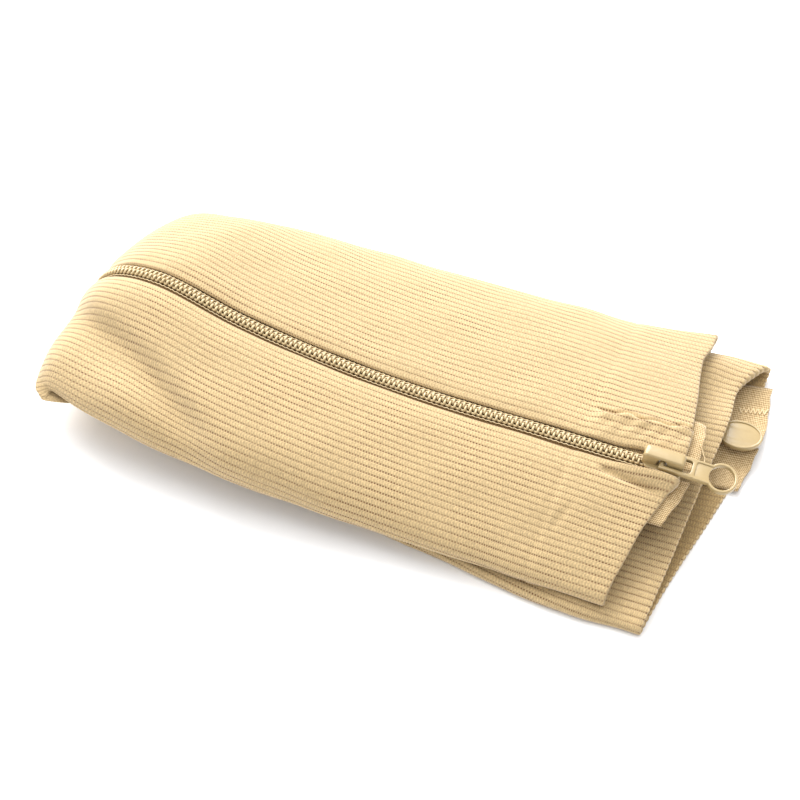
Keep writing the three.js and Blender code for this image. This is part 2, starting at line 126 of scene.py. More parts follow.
def add_node(tree: bpy.types.NodeTree, kind: str, settings: dict, **links: object) -> bpy.types.Node:
    """Adds a shader node with its settings and links.

    Args:
        tree: The material's node tree.
        kind: The node's type name, without the ShaderNode in front.
        settings: Values by attribute name, or by input name or index.
        links: Sockets that feed the inputs of these names, with _ for a space, or in0, in1 by index.

    Returns:
        The new node.
    """
    node = tree.nodes.new("ShaderNode" + kind)
    for key, value in settings.items():
        if isinstance(key, str) and hasattr(node, key):
            setattr(node, key, value)
        else:
            node.inputs[key].default_value = value
    for key, socket in links.items():
        target = int(key[2:]) if key[:2] == "in" and key[2:].isdigit() else key.replace("_", " ")
        tree.links.new(socket, node.inputs[target])
    return node


def mesh_object(
    name: str,
    points: np.ndarray,
    faces: list,
    materials: list[bpy.types.Material],
    uv: np.ndarray | None = None,
    face_materials: np.ndarray | None = None,
) -> bpy.types.Object:
    """Makes a smooth mesh object from points in millimetres.

    Args:
        name: The piece's name.
        points: Vertices, one row each.
        faces: Vertex numbers of each face.
        materials: The material slots.
        uv: A UV for each vertex, in the map named grid.
        face_materials: The slot number of each face.

    Returns:
        The object, linked to the scene.
    """
    mesh = bpy.data.meshes.new(name)
    mesh.from_pydata((points * MM).tolist(), [], faces)
    mesh.update()
    if uv is not None:
        layer = mesh.uv_layers.new(name="grid")
        loop_vertices = np.zeros(len(mesh.loops), np.int32)
        mesh.loops.foreach_get("vertex_index", loop_vertices)
        layer.data.foreach_set("uv", uv[loop_vertices].astype(np.float32).ravel())
    for material in materials:
        mesh.materials.append(material)
    if face_materials is not None:
        mesh.polygons.foreach_set("material_index", face_materials.astype(np.int32))
    mesh.polygons.foreach_set("use_smooth", np.ones(len(mesh.polygons), bool))
    made = bpy.data.objects.new(name, mesh)
    bpy.context.scene.collection.objects.link(made)
    return made


def grid_faces(rows: int, cols: int, first: int = 0, wrap: bool = False) -> np.ndarray:
    """The quads of a grid of points.

    Args:
        rows: Points down the grid.
        cols: Points along each row.
        first: The number of the grid's first vertex.
        wrap: Whether the last column joins the first.

    Returns:
        Four vertex numbers for each quad.
    """
    across = np.arange(cols if wrap else cols - 1)
    down = np.arange(rows - 1)[:, None] * cols
    right = (across + 1) % cols
    quads = np.stack([down + across, down + cols + across, down + cols + right, down + right], axis=-1)
    return quads.reshape(-1, 4) + first


def dressed(piece: bpy.types.Object, body: Body, slot: Slot, *nodes: str) -> bpy.types.Object:
    """Puts a piece on its body, in place of the CAD nodes it stands for.

    Args:
        piece: The new piece.
        body: The CAD body it rides on.
        slot: The record's material slot. Not used.
        nodes: The CAD nodes that it replaces.

    Returns:
        The same piece.
    """
    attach(piece, body.value)
    if nodes:
        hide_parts(*nodes)
    log.info("%s: %d faces", piece.name, len(piece.data.polygons))
    return piece


# Finishes


@dataclass(frozen=True)
class RibKnit:
    """Nylon and elastane rib knit: a matt, slightly fuzzy yarn, with painted shade in dotted lines between
    ribs.
    """

    name: str = "rib_knit_nylon_elastane"
    crown: str = "#b9a075"  # the lit top of a rib
    groove_shade: str = "#542a04"  # painted shade in the line between two ribs
    stitch: float = 1.0  # mm between stitches along a rib, coarser than real so that they show
    groove: float = 0.25  # half width of the line between ribs, as a share of a rib
    slant: float = 5.0  # radians by which a stitch leans from a rib's crown to its line
    cloud: float = 18.2  # mm across a paler or darker patch of the cloth
    fibre: float = 0.625  # mm across a clump of fibre ends, coarser than real so that it shows
    purl: bool = False  # the inside of the cloth, where the lines are fainter

    def build(self) -> bpy.types.Material:
        """Makes the material.

        Returns:
            The node material.
        """
        made = bpy.data.materials.new(self.name)
        made.use_nodes = True
        tree = made.node_tree
        shader = tree.nodes["Principled BSDF"]
        shader.inputs["Roughness"].default_value = 0.88  # matt yarn
        shader.inputs["IOR"].default_value = 1.45
        shader.inputs["Specular IOR Level"].default_value = 0.35
        shader.inputs["Sheen Weight"].default_value = 0.4  # loose fibre ends catch light at the rim
        shader.inputs["Sheen Roughness"].default_value = 0.5
        shader.inputs["Sheen Tint"].default_value = linear("#fffaf0")
        grid = add_node(tree, "UVMap", {"uv_map": "grid"})
        axes = add_node(tree, "SeparateXYZ", {}, in0=grid.outputs[0])
        # distance from the middle of a rib, 0 at the crown and 0.5 in the line between ribs
        share = add_node(tree, "Math", {"operation": "FRACT"}, in0=axes.outputs["Y"])
        centred = add_node(tree, "Math", {"operation": "SUBTRACT", 1: 0.5}, in0=share.outputs[0])
        off = add_node(tree, "Math", {"operation": "ABSOLUTE"}, in0=centred.outputs[0])
        line = add_node(
            tree,
            "MapRange",
            {"interpolation_type": "SMOOTHSTEP", 1: 0.5 - self.groove, 2: 0.5, 3: 0.0, 4: 1.0},
            in0=off.outputs[0],
        )
        # stitches along the rib, slanting both ways from the crown
        turn = 2 * math.pi / self.stitch
        phase = add_node(tree, "Math", {"operation": "MULTIPLY", 1: turn}, in0=axes.outputs["X"])
        slant = add_node(
            tree,
            "Math",
            {"operation": "MULTIPLY_ADD", 1: self.slant},
            in0=off.outputs[0],
            in2=phase.outputs[0],
        )
        chevron = add_node(tree, "Math", {"operation": "SINE"}, in0=slant.outputs[0])
        dots = add_node(tree, "Math", {"operation": "COSINE"}, in0=phase.outputs[0])
        dotted = add_node(tree, "MapRange", {1: -0.5, 2: 0.5, 3: 0.0, 4: 1.0}, in0=dots.outputs[0])
        dark = add_node(
            tree, "Math", {"operation": "MULTIPLY"}, in0=line.outputs[0], in1=dotted.outputs[0]
        )
        place = add_node(tree, "TexCoord", {})
        cloud = add_node(
            tree,
            "TexNoise",
            {"Scale": 1 / (self.cloud * MM), "Detail": 3.0, "Roughness": 0.6},
            Vector=place.outputs["Object"],
        )
        fibre = add_node(
            tree,
            "TexNoise",
            {"Scale": 1 / (self.fibre * MM), "Detail": 2.0, "Roughness": 0.7},
            Vector=place.outputs["Object"],
        )
        tone = add_node(tree, "MapRange", {1: 0.3, 2: 0.7, 3: 0.95, 4: 1.04}, in0=cloud.outputs[0])
        fleck = add_node(tree, "MapRange", {1: 0.3, 2: 0.7, 3: 0.78, 4: 1.18}, in0=fibre.outputs[0])
        weave = add_node(tree, "MapRange", {1: -1.0, 2: 1.0, 3: 0.8, 4: 1.08}, in0=chevron.outputs[0])
        shade = add_node(tree, "Math", {"operation": "MULTIPLY"}, in0=tone.outputs[0], in1=fleck.outputs[0])
        level = add_node(tree, "Math", {"operation": "MULTIPLY"}, in0=shade.outputs[0], in1=weave.outputs[0])
        # the lines open and close a little as the cloth is stretched more here and less there
        weak, strong = (0.3, 0.5) if self.purl else (0.5, 1.0)
        open_by = add_node(tree, "MapRange", {1: 0.38, 2: 0.62, 3: weak, 4: strong}, in0=cloud.outputs[0])
        depth = add_node(tree, "Math", {"operation": "MULTIPLY"}, in0=dark.outputs[0], in1=open_by.outputs[0])
        # the crown darkens toward painted shade in the lines between ribs, dotted along the stitches
        yarn = add_node(
            tree,
            "Mix",
            {"data_type": "RGBA", 6: linear(self.crown), 7: linear(self.groove_shade)},
            in0=depth.outputs[0],
        )
        colour = add_node(
            tree,
            "Mix",
            {"data_type": "RGBA", "blend_type": "MULTIPLY", 0: 1.0},
            in6=yarn.outputs[2],
            in7=level.outputs[0],
        )
        tree.links.new(colour.outputs[2], shader.inputs["Base Color"])
        relief = add_node(
            tree, "Math", {"operation": "MULTIPLY_ADD", 1: 0.35}, in0=chevron.outputs[0], in2=fibre.outputs[0]
        )
        height = add_node(
            tree, "Math", {"operation": "MULTIPLY_ADD", 1: -1.6}, in0=dark.outputs[0], in2=relief.outputs[0]
        )
        bump = add_node(tree, "Bump", {"Strength": 0.55, "Distance": 0.12 * MM}, Height=height.outputs[0])
        tree.links.new(bump.outputs[0], shader.inputs["Normal"])
        return made


@dataclass(frozen=True)
class WovenTape:
    """Polyester zipper tape, woven in a fine twill: greyer than the knit, with a dull cross-hatch and painted
    shade along its edge under the closed teeth.
    """

    name: str = "woven_polyester_tape"
    warp: str = "#d9c197"
    weft: str = "#86683a"
    thread: float = 1.15  # mm between threads, coarser than woven so that they show
    fuzz: float = 0.667  # mm across a clump of fibre ends, coarser than real so that it shows
    teeth_shade: str = "#60400f"  # painted shade on the edge under the closed teeth
    shade: float = 3.4  # mm of that edge
    middle: float = 222.0  # along the tape, the middle of the closed teeth
    reach: float = 203.0  # how far they run from there

    def build(self) -> bpy.types.Material:
        """Makes the material.

        Returns:
            The node material.
        """
        made = bpy.data.materials.new(self.name)
        made.use_nodes = True
        tree = made.node_tree
        shader = tree.nodes["Principled BSDF"]
        shader.inputs["Roughness"].default_value = 0.8
        shader.inputs["IOR"].default_value = 1.5
        shader.inputs["Specular IOR Level"].default_value = 0.25
        shader.inputs["Sheen Weight"].default_value = 0.2
        grid = add_node(tree, "UVMap", {"uv_map": "grid"})
        axes = add_node(tree, "SeparateXYZ", {}, in0=grid.outputs[0])
        turn = 2 * math.pi / self.thread
        along = add_node(tree, "Math", {"operation": "MULTIPLY", 1: turn}, in0=axes.outputs["X"])
        across = add_node(tree, "Math", {"operation": "MULTIPLY", 1: turn}, in0=axes.outputs["Y"])
        rise = add_node(tree, "Math", {"operation": "ADD"}, in0=along.outputs[0], in1=across.outputs[0])
        fall = add_node(tree, "Math", {"operation": "SUBTRACT"}, in0=along.outputs[0], in1=across.outputs[0])
        twill = add_node(tree, "Math", {"operation": "SINE"}, in0=rise.outputs[0])
        cross = add_node(tree, "Math", {"operation": "SINE"}, in0=fall.outputs[0])
        woven = add_node(tree, "Math", {"operation": "MULTIPLY"}, in0=twill.outputs[0], in1=cross.outputs[0])
        place = add_node(tree, "TexCoord", {})
        fuzz = add_node(
            tree,
            "TexNoise",
            {"Scale": 1 / (self.fuzz * MM), "Detail": 3.0, "Roughness": 0.7},
            Vector=place.outputs["Object"],
        )
        mixed = add_node(
            tree, "Math", {"operation": "MULTIPLY_ADD", 1: 0.4}, in0=woven.outputs[0], in2=fuzz.outputs[0]
        )
        share = add_node(tree, "MapRange", {1: 0.2, 2: 0.85, 3: 0.0, 4: 1.0}, in0=mixed.outputs[0])
        colour = add_node(
            tree,
            "Mix",
            {"data_type": "RGBA", 6: linear(self.weft), 7: linear(self.warp)},
            in0=share.outputs[0],
        )
        # painted shade: the tape's edge under the closed teeth darkens, along the run of the closed teeth
        # only
        edge = add_node(
            tree, "MapRange", {1: self.shade - 0.6, 2: self.shade, 3: 0.85, 4: 0.0}, in0=axes.outputs["Y"]
        )
        middle = add_node(tree, "Math", {"operation": "SUBTRACT", 1: self.middle}, in0=axes.outputs["X"])
        away = add_node(tree, "Math", {"operation": "ABSOLUTE"}, in0=middle.outputs[0])
        reach = add_node(
            tree, "MapRange", {1: self.reach, 2: self.reach + 6.0, 3: 1.0, 4: 0.0}, in0=away.outputs[0]
        )
        teeth_shade = add_node(tree, "Math", {"operation": "MULTIPLY"}, in0=edge.outputs[0], in1=reach.outputs[0])
        wear_and_shade = add_node(
            tree,
            "Mix",
            {"data_type": "RGBA", 7: linear(self.teeth_shade)},
            in0=teeth_shade.outputs[0],
            in6=colour.outputs[2],
        )
        tree.links.new(wear_and_shade.outputs[2], shader.inputs["Base Color"])
        bump = add_node(tree, "Bump", {"Strength": 0.6, "Distance": 0.15 * MM}, Height=mixed.outputs[0])
        tree.links.new(bump.outputs[0], shader.inputs["Normal"])
        return made


@dataclass(frozen=True)
class PlainFinish:
    """A moulded, coated or spun finish: an even colour that drifts a little, and a faint surface grain."""

    name: str
    colour: str
    wear_and_shade: str  # the colour that the drift goes toward
    roughness: float
    ior: float
    grain: float  # size of the surface grain in mm
    relief: float  # depth of the grain in mm
    coat: float = 0.0
    drift: float = 5.56  # mm across a patch of the drifting colour

    def build(self) -> bpy.types.Material:
        """Makes the material.

        Returns:
            The node material.
        """
        made = bpy.data.materials.new(self.name)
        made.use_nodes = True
        tree = made.node_tree
        shader = tree.nodes["Principled BSDF"]
        shader.inputs["IOR"].default_value = self.ior
        shader.inputs["Coat Weight"].default_value = self.coat
        shader.inputs["Coat Roughness"].default_value = 0.12
        place = add_node(tree, "TexCoord", {})
        drift = add_node(
            tree,
            "TexNoise",
            {"Scale": 1 / (self.drift * MM), "Detail": 4.0, "Roughness": 0.6},
            Vector=place.outputs["Object"],
        )
        share = add_node(tree, "MapRange", {1: 0.35, 2: 0.75, 3: 0.0, 4: 1.0}, in0=drift.outputs[0])
        colour = add_node(
            tree,
            "Mix",
            {"data_type": "RGBA", 6: linear(self.colour), 7: linear(self.wear_and_shade)},
            in0=share.outputs[0],
        )
        tree.links.new(colour.outputs[2], shader.inputs["Base Color"])
        dull = add_node(
            tree,
            "MapRange",
            {1: 0.3, 2: 0.7, 3: self.roughness - 0.05, 4: self.roughness + 0.07},
            in0=drift.outputs[0],
        )
        tree.links.new(dull.outputs[0], shader.inputs["Roughness"])
        grain = add_node(
            tree,
            "TexNoise",
            {"Scale": 1 / (self.grain * MM), "Detail": 2.0},
            Vector=place.outputs["Object"],
        )
        bump = add_node(
            tree, "Bump", {"Strength": 0.5, "Distance": self.relief * MM}, Height=grain.outputs[0]
        )
        tree.links.new(bump.outputs[0], shader.inputs["Normal"])
        return made


@dataclass
class Finishes:
    """Every material of the sock, built once."""

    knit: bpy.types.Material = field(init=False)
    purl: bpy.types.Material = field(init=False)
    tape: bpy.types.Material = field(init=False)
    coil: bpy.types.Material = field(init=False)
    thread: bpy.types.Material = field(init=False)
    enamel: bpy.types.Material = field(init=False)

    def __post_init__(self) -> None:
        """Builds the materials."""
        self.knit = RibKnit().build()
        self.purl = RibKnit(name="rib_knit_inside", crown="#a88d5f", purl=True).build()
        self.tape = WovenTape().build()
        # drawn nylon monofilament: smooth and slightly clear, so each turn has a bright line on it
        self.coil = PlainFinish(
            "drawn_nylon_monofilament",
            colour="#bba57c",
            wear_and_shade="#c8b48b",
            roughness=0.3,
            ior=1.53,
            grain=0.5,
            relief=0.01,
        ).build()
        # spun polyester sewing thread: pale and soft
        self.thread = PlainFinish(
            "spun_polyester_thread",
            colour="#e3cfa6",
            wear_and_shade="#cbb186",
            roughness=0.7,
            ior=1.5,
            grain=0.15,
            relief=0.03,
        ).build()
        # enamel baked on a zinc casting: an even satin skin over slightly wavy metal
        self.enamel = PlainFinish(
            "baked_enamel_on_cast_zinc",
            colour="#a79166",
            wear_and_shade="#9e885b",
            roughness=0.34,
            ior=1.5,
            grain=1.4,
            relief=0.02,
            coat=0.25,
        ).build()


# The folded tube, in millimetres


@dataclass(frozen=True)
class Section:
    """One cross-section of the folded sock.

    zipper is the zipper's line on the outer wall, front and back are the side creases, and inner is
    the crest of the wall that faces the other half. full says how round the outer front, outer back
    and inner walls bow, groove how deep the zipper lies, and dent the hollow in the front wall.
    """

    zipper: tuple[float, float, float]
    front: tuple[float, float, float]
    back: tuple[float, float, float]
    inner: tuple[float, float, float]
    full: tuple[float, float, float]
    groove: float
    dent: float


# From the upper mouth round the fold to the lower mouth.
SECTIONS = (
    Section((96, 1.5, 21.8), (86, -45.5, 6.2), (86.5, 74, 9), (84.5, 34, 12.5), (1.25, 1.3, 1.3), 0.8, 0),
    Section((76, 0, 23.3), (66, -46.2, 6.4), (64, 68, 9), (66, 32, 12.1), (1.3, 1.8, 1.3), 0.9, 0),
    Section((46, -2.5, 23.5), (44, -47, 7.2), (40, 65, 10.2), (42, 22, 10.4), (1.5, 2.3, 1.4), 1, 0),
    Section((14, -5, 25), (13, -48.5, 8.8), (8, 62, 11.6), (12, 14, 9.6), (1.85, 2.4, 1.5), 1, 0.4),
    Section((-20, -6, 28), (-18, -50, 10.8), (-24, 60, 13), (-20, 9, 9.8), (2.4, 2.4, 1.6), 1, 0.4),
    Section((-55, -4, 32.5), (-52, -50.5, 13.2), (-55, 57, 15), (-54, 6, 11), (2.3, 2.4, 1.7), 1, 1),
    Section((-88, 1.5, 37), (-84, -47, 15.2), (-78, 52, 17), (-82, 5, 13.6), (2, 2.3, 1.8), 1, 3),
    Section(
        (-106.5, 4, 31.5), (-107.7, -43.5, 16.8), (-94, 48, 18.2), (-97, 5, 16.8), (1.9, 2.2, 1.05), 1, 2.4
    ),
    Section(
        (-115, 5, 20.5), (-110.4, -42.5, 13.4), (-98, 46, 14.3), (-99.5, 5, 14), (1.9, 2.2, 1.05), 1, 0.8
    ),
    Section((-107, 6, 8), (-107.7, -41.5, 10), (-94, 46, 10.2), (-97, 6, 11.2), (1.9, 2.2, 1.05), 1, 0),
    Section((-86, 9, 1.6), (-82, -35, 8), (-80, 48, 6), (-82, 8, 9.8), (2, 2.3, 1.6), 1, 0),
    Section((-50, 15, 0), (-50, -35, 3.6), (-50, 52, 2.6), (-50, 10, 8.2), (2.4, 2.4, 1.4), 1, 0),
    Section((-12, 21, 0), (-12, -40, 1.7), (-12, 57, 1.7), (-12, 14, 7.6), (2.4, 2.4, 1.3), 1, 0),
    Section((30, 28, 0), (30, -45.5, 1.7), (30, 62, 1.7), (30, 20, 7.9), (2.4, 2.4, 1.2), 1, 0),
    Section((70, 31.5, 0), (70, -49.5, 1.7), (70, 66, 1.7), (70, 31, 10.6), (2.4, 2.4, 1.2), 1.85, 0),
    Section((110, 36.5, 0), (99, -48.5, 1.7), (106.5, 71, 3), (101.5, 34, 11.8), (2.4, 2.4, 1.2), 2.75, 0),
)

# how far the closed chain lies behind the CAD's line, at the sections from the upper mouth on
CLOSED_SWAY = (0.0, 0.0, 2.2, 3.0, 3.3, 2.3, 0.4)


@dataclass
class FoldedTube:
    """The outside of the cloth as a smooth surface, the CAD's own but for its sway and slit_close.

    A place on it is u along the sock, from 0 at the upper mouth to 1 at the lower one, and w across
    one wall, from 0 at a side crease to 1 at the wall's crest.
    """

    sections: tuple[Section, ...] = SECTIONS
    crease: float = 1.7  # outside radius of the side creases
    crease_ease: float = 5.0  # how far from a crease a wall that is pushed in turns inward
    groove_reach: float = 12.0  # how far from the zipper its groove reaches
    rail_span: float = 0.025  # how much of the sock each way sets the direction along it
    dent_end: float = 0.9  # the dent of the front wall ends at this w
    slit: float = 4.3  # half the slit between the knit edges
    slit_flare: float = 0.3  # how much wider each side of the slit is at the upper mouth
    flare_length: float = 18.0
    slit_close: tuple[float, float] = (0.35, 1.0)  # how much narrower its front and back are when closed
    close_from: tuple[float, float] = (14.0, 32.0)  # where that starts, from the upper and the lower mouth
    close_ease: float = 10.0
    wall: float = 1.0
    hem_extra: float = 0.1
    upper_hem: float = 24.0
    lower_hem: float = 34.0
    hem_ease: float = 4.0
    sway: tuple[float, ...] = ()  # how far the zipper lies behind the CAD's line at each section
    steps: int = 1200  # of the table of lengths along the zipper

    def __post_init__(self) -> None:
        """Gathers the rails and measures the zipper."""
        self.rails = {
            key: np.array([getattr(s, key) for s in self.sections], float)
            for key in ("zipper", "front", "back", "inner", "full")
        }
        self.rails["zipper"][: len(self.sway), 1] += self.sway
        self.rails["depths"] = np.array([(s.groove, s.dent, 0.0) for s in self.sections])
        self.table_u = np.linspace(0, 1, self.steps + 1)
        line = self.rail("zipper", self.table_u)
        self.table_length = np.r_[0, np.cumsum(np.linalg.norm(np.diff(line, axis=0), axis=1))]
        self.length = float(self.table_length[-1])

    def rail(self, key: str, u: np.ndarray) -> np.ndarray:
        """A centripetal Catmull-Rom curve through one column of the sections.

        Args:
            key: The column.
            u: Places along the sock.

        Returns:
            One point for each u.
        """
        knots = self.rails[key]
        x = np.clip(u, 0, 1) * (len(knots) - 1)
        i = np.clip(np.floor(x).astype(int), 0, len(knots) - 2)
        t = (x - i)[:, None]
        ends = np.vstack([2 * knots[0] - knots[1], knots, 2 * knots[-1] - knots[-2]])
        p0, p1, p2, p3 = (ends[i + k] for k in range(4))
        pairs = ((p0, p1), (p1, p2), (p2, p3))
        d0, d1, d2 = (np.sqrt(np.linalg.norm(b - a, axis=1))[:, None] for a, b in pairs)
        d1 = np.where(d1 < 1e-4, 1.0, d1)
        d0 = np.where(d0 < 1e-4, d1, d0)
        d2 = np.where(d2 < 1e-4, d1, d2)
        t1 = ((p1 - p0) / d0 - (p2 - p0) / (d0 + d1) + (p2 - p1) / d1) * d1
        t2 = ((p2 - p1) / d1 - (p3 - p1) / (d1 + d2) + (p3 - p2) / d2) * d1
        return p1 + t1 * t + (3 * (p2 - p1) - 2 * t1 - t2) * t**2 + (2 * (p1 - p2) + t1 + t2) * t**3

    def at_length(self, length: np.ndarray) -> np.ndarray:
        """The u at these lengths along the zipper from the upper mouth."""
        return np.interp(length, self.table_length, self.table_u)

    def length_at(self, u: np.ndarray) -> np.ndarray:
        """The length along the zipper at u."""
        return np.interp(u, self.table_u, self.table_length)

    def section(self, u: np.ndarray) -> dict[str, np.ndarray]:
        """The rails at u, with the section's own directions.

        Args:
            u: Places along the sock.

        Returns:
            The rails, axis from front to back, along the sock, and out of the outer wall.
        """
        s = {key: self.rail(key, u) for key in self.rails}
        s["axis"] = unit(s["back"] - s["front"])
        before, after = np.maximum(u - self.rail_span, 0), np.minimum(u + self.rail_span, 1)
        along = sum(self.rail(k, after) - self.rail(k, before) for k in ("zipper", "front", "back", "inner"))
        s["along"] = unit(along - s["axis"] * dot(along, s["axis"]))
        s["out"] = np.cross(s["axis"], s["along"])
        return s

    def across(self, u: np.ndarray, side: Side, face: Face) -> np.ndarray:
        """The width of one wall from its crease to the foot of its crest.

        Args:
            u: Places along the sock.
            side: Which crease.
            face: Which wall.

        Returns:
            Widths, a column for each u.
        """
        s = self.section(u)
        crest = s["zipper"] if face is Face.OUTER else s["inner"]
        foot = s["front"] + s["axis"] * dot(crest - s["front"], s["axis"])
        return np.linalg.norm(foot - s[side.value], axis=1)[:, None]

    def points(self, u: np.ndarray, side: Side, face: Face, w: np.ndarray) -> np.ndarray:
        """Points of the cloth's outside.

        Args:
            u: Places along the sock.
            side: Front or back of the zipper.
            face: Outer or inner wall.
            w: Places across the wall, a row for each u or one row for all.

        Returns:
            A grid of points, a row for each u.
        """
        s = self.section(u)
        outer = face is Face.OUTER
        crest = s["zipper"] if outer else s["inner"]
        foot = s["front"] + s["axis"] * dot(crest - s["front"], s["axis"])
        to_crest = crest - foot
        sign = 1.0 if outer else -1.0
        height = dot(to_crest, s["out"]) * sign
        across = np.linalg.norm(foot - s[side.value], axis=1)[:, None]
        column = (0 if side is Side.FRONT else 1) if outer else 2
        full = s["full"][:, column : column + 1]
        near = np.minimum(w * across / self.crease, 1)
        start = np.where(height < self.crease, smooth(w * across / self.crease_ease), 1.0)
        bow = (1 - (1 - np.clip(w, 0, 1)) ** full) ** (1 / full)
        rise = self.crease * np.sqrt(1 - (1 - near) ** 2) + (height - self.crease) * start * bow
        if outer:
            d = (1 - w) * across
            trough = np.cos(np.pi * np.minimum(d / self.groove_reach, 1) / 2) ** 2
            rise = rise - s["depths"][:, :1] * trough
            if side is Side.FRONT:
                hollow = np.sin(np.pi * np.minimum(w / self.dent_end, 1)) ** 2
                rise = rise - np.maximum(s["depths"][:, 1:2], 0) * hollow
        w3 = np.broadcast_to(w, rise.shape)[..., None]
        p = s[side.value][:, None] * (1 - w3) + foot[:, None] * w3
        p = p + s["out"][:, None] * (rise * sign)[..., None]
        p = p + s["along"][:, None] * (dot(to_crest, s["along"]) * smooth(w))[..., None]
        p[..., 2] = np.maximum(p[..., 2], 0)
        return p + CENTRE

    def slit_half(self, u: np.ndarray, side: Side) -> np.ndarray:
        """The slit's edge from the zipper's line, a column for each u.

        Args:
            u: Places along the sock.
            side: Which edge.

        Returns:
            Distances; between the sliders the front edge stands further off than the back one.
        """
        s = self.length_at(u)
        flare = smooth(1 - s / self.flare_length)
        upper, lower = self.close_from
        between = smooth((s - upper) / self.close_ease) * smooth((self.length - lower - s) / self.close_ease)
        close = self.slit_close[0 if side is Side.FRONT else 1]
        return (self.slit + self.slit_flare * flare - close * between)[:, None]

    def thickness(self, u: np.ndarray) -> np.ndarray:
        """The cloth's thickness, which is more in the hems.

        Args:
            u: Places along the sock.

        Returns:
            Thicknesses, one for each u.
        """
        s = self.length_at(u)
        hem = np.where(u < 0.5, self.upper_hem, self.lower_hem)
        return self.wall + self.hem_extra * smooth((hem - np.minimum(s, self.length - s)) / self.hem_ease)

    def ring(self, u: np.ndarray, count: int) -> np.ndarray:
        """Close points round each section, from the slit's front edge to its back edge.

        Args:
            u: Places along the sock.
            count: Points on each of the four walls.

        Returns:
            A row of points for each u.
        """
        t = np.linspace(0, 1, count)[None, :]
        walls = []
        for side in Side:
            edge = 1 - self.slit_half(u, side) / self.across(u, side, Face.OUTER)
            outer = self.points(u, side, Face.OUTER, edge * (1 - t) ** 2)
            inner = self.points(u, side, Face.INNER, np.repeat(t**2, len(u), axis=0))
            walls.append(np.concatenate([outer, inner[:, 1:]], axis=1))
        return np.concatenate([walls[0], walls[1][:, -2::-1]], axis=1)

    def zip_frames(self, u: np.ndarray) -> tuple[np.ndarray, np.ndarray, np.ndarray, np.ndarray]:
        """The zipper's own frame.

        Args:
            u: Places along the sock.

        Returns:
            Places on the zipper's line, the way to the lower mouth, the way to the back, and the way out.
        """
        one = np.ones((1, 1))
        at = self.points(u, Side.FRONT, Face.OUTER, one)[:, 0]
        ahead = self.points(np.minimum(u + 1e-4, 1), Side.FRONT, Face.OUTER, one)[:, 0]
        behind = self.points(np.maximum(u - 1e-4, 0), Side.FRONT, Face.OUTER, one)[:, 0]
        along = unit(ahead - behind)
        out = self.section(u)["out"]
        out = unit(out - along * dot(out, along))
        return at, along, np.cross(along, out), out


# The knit


@dataclass(frozen=True)
class Swell:
    """A round swelling, or a hollow if its height is negative."""

    height: float
    at: float
    width: float

    def of(self, x: np.ndarray) -> np.ndarray:
        """Its height at x."""
        return self.height * bell(x - self.at, self.width)


@dataclass(frozen=True)
class Dimple:
    """A small hollow beside the zipper."""

    depth: float
    at: tuple[float, float]  # length along the zipper and distance from it
    size: tuple[float, float]

    def of(self, s: np.ndarray, d: np.ndarray) -> np.ndarray:
        """Its depth at lengths s and distances d."""
        return self.depth * bell(s - self.at[0], self.size[0]) * bell(d - self.at[1], self.size[1])


@dataclass(frozen=True)
class CreaseLine:
    """A straight crease beside the zipper."""

    start: tuple[float, float]  # length along the zipper and distance from it
    end: tuple[float, float]

    def offset(self, s: np.ndarray, d: np.ndarray) -> np.ndarray:
        """How far points at lengths s and distances d lie beyond the crease."""
        slope = (self.end[1] - self.start[1]) / (self.end[0] - self.start[0])
        return d - (self.start[1] + slope * (s - self.start[0]))


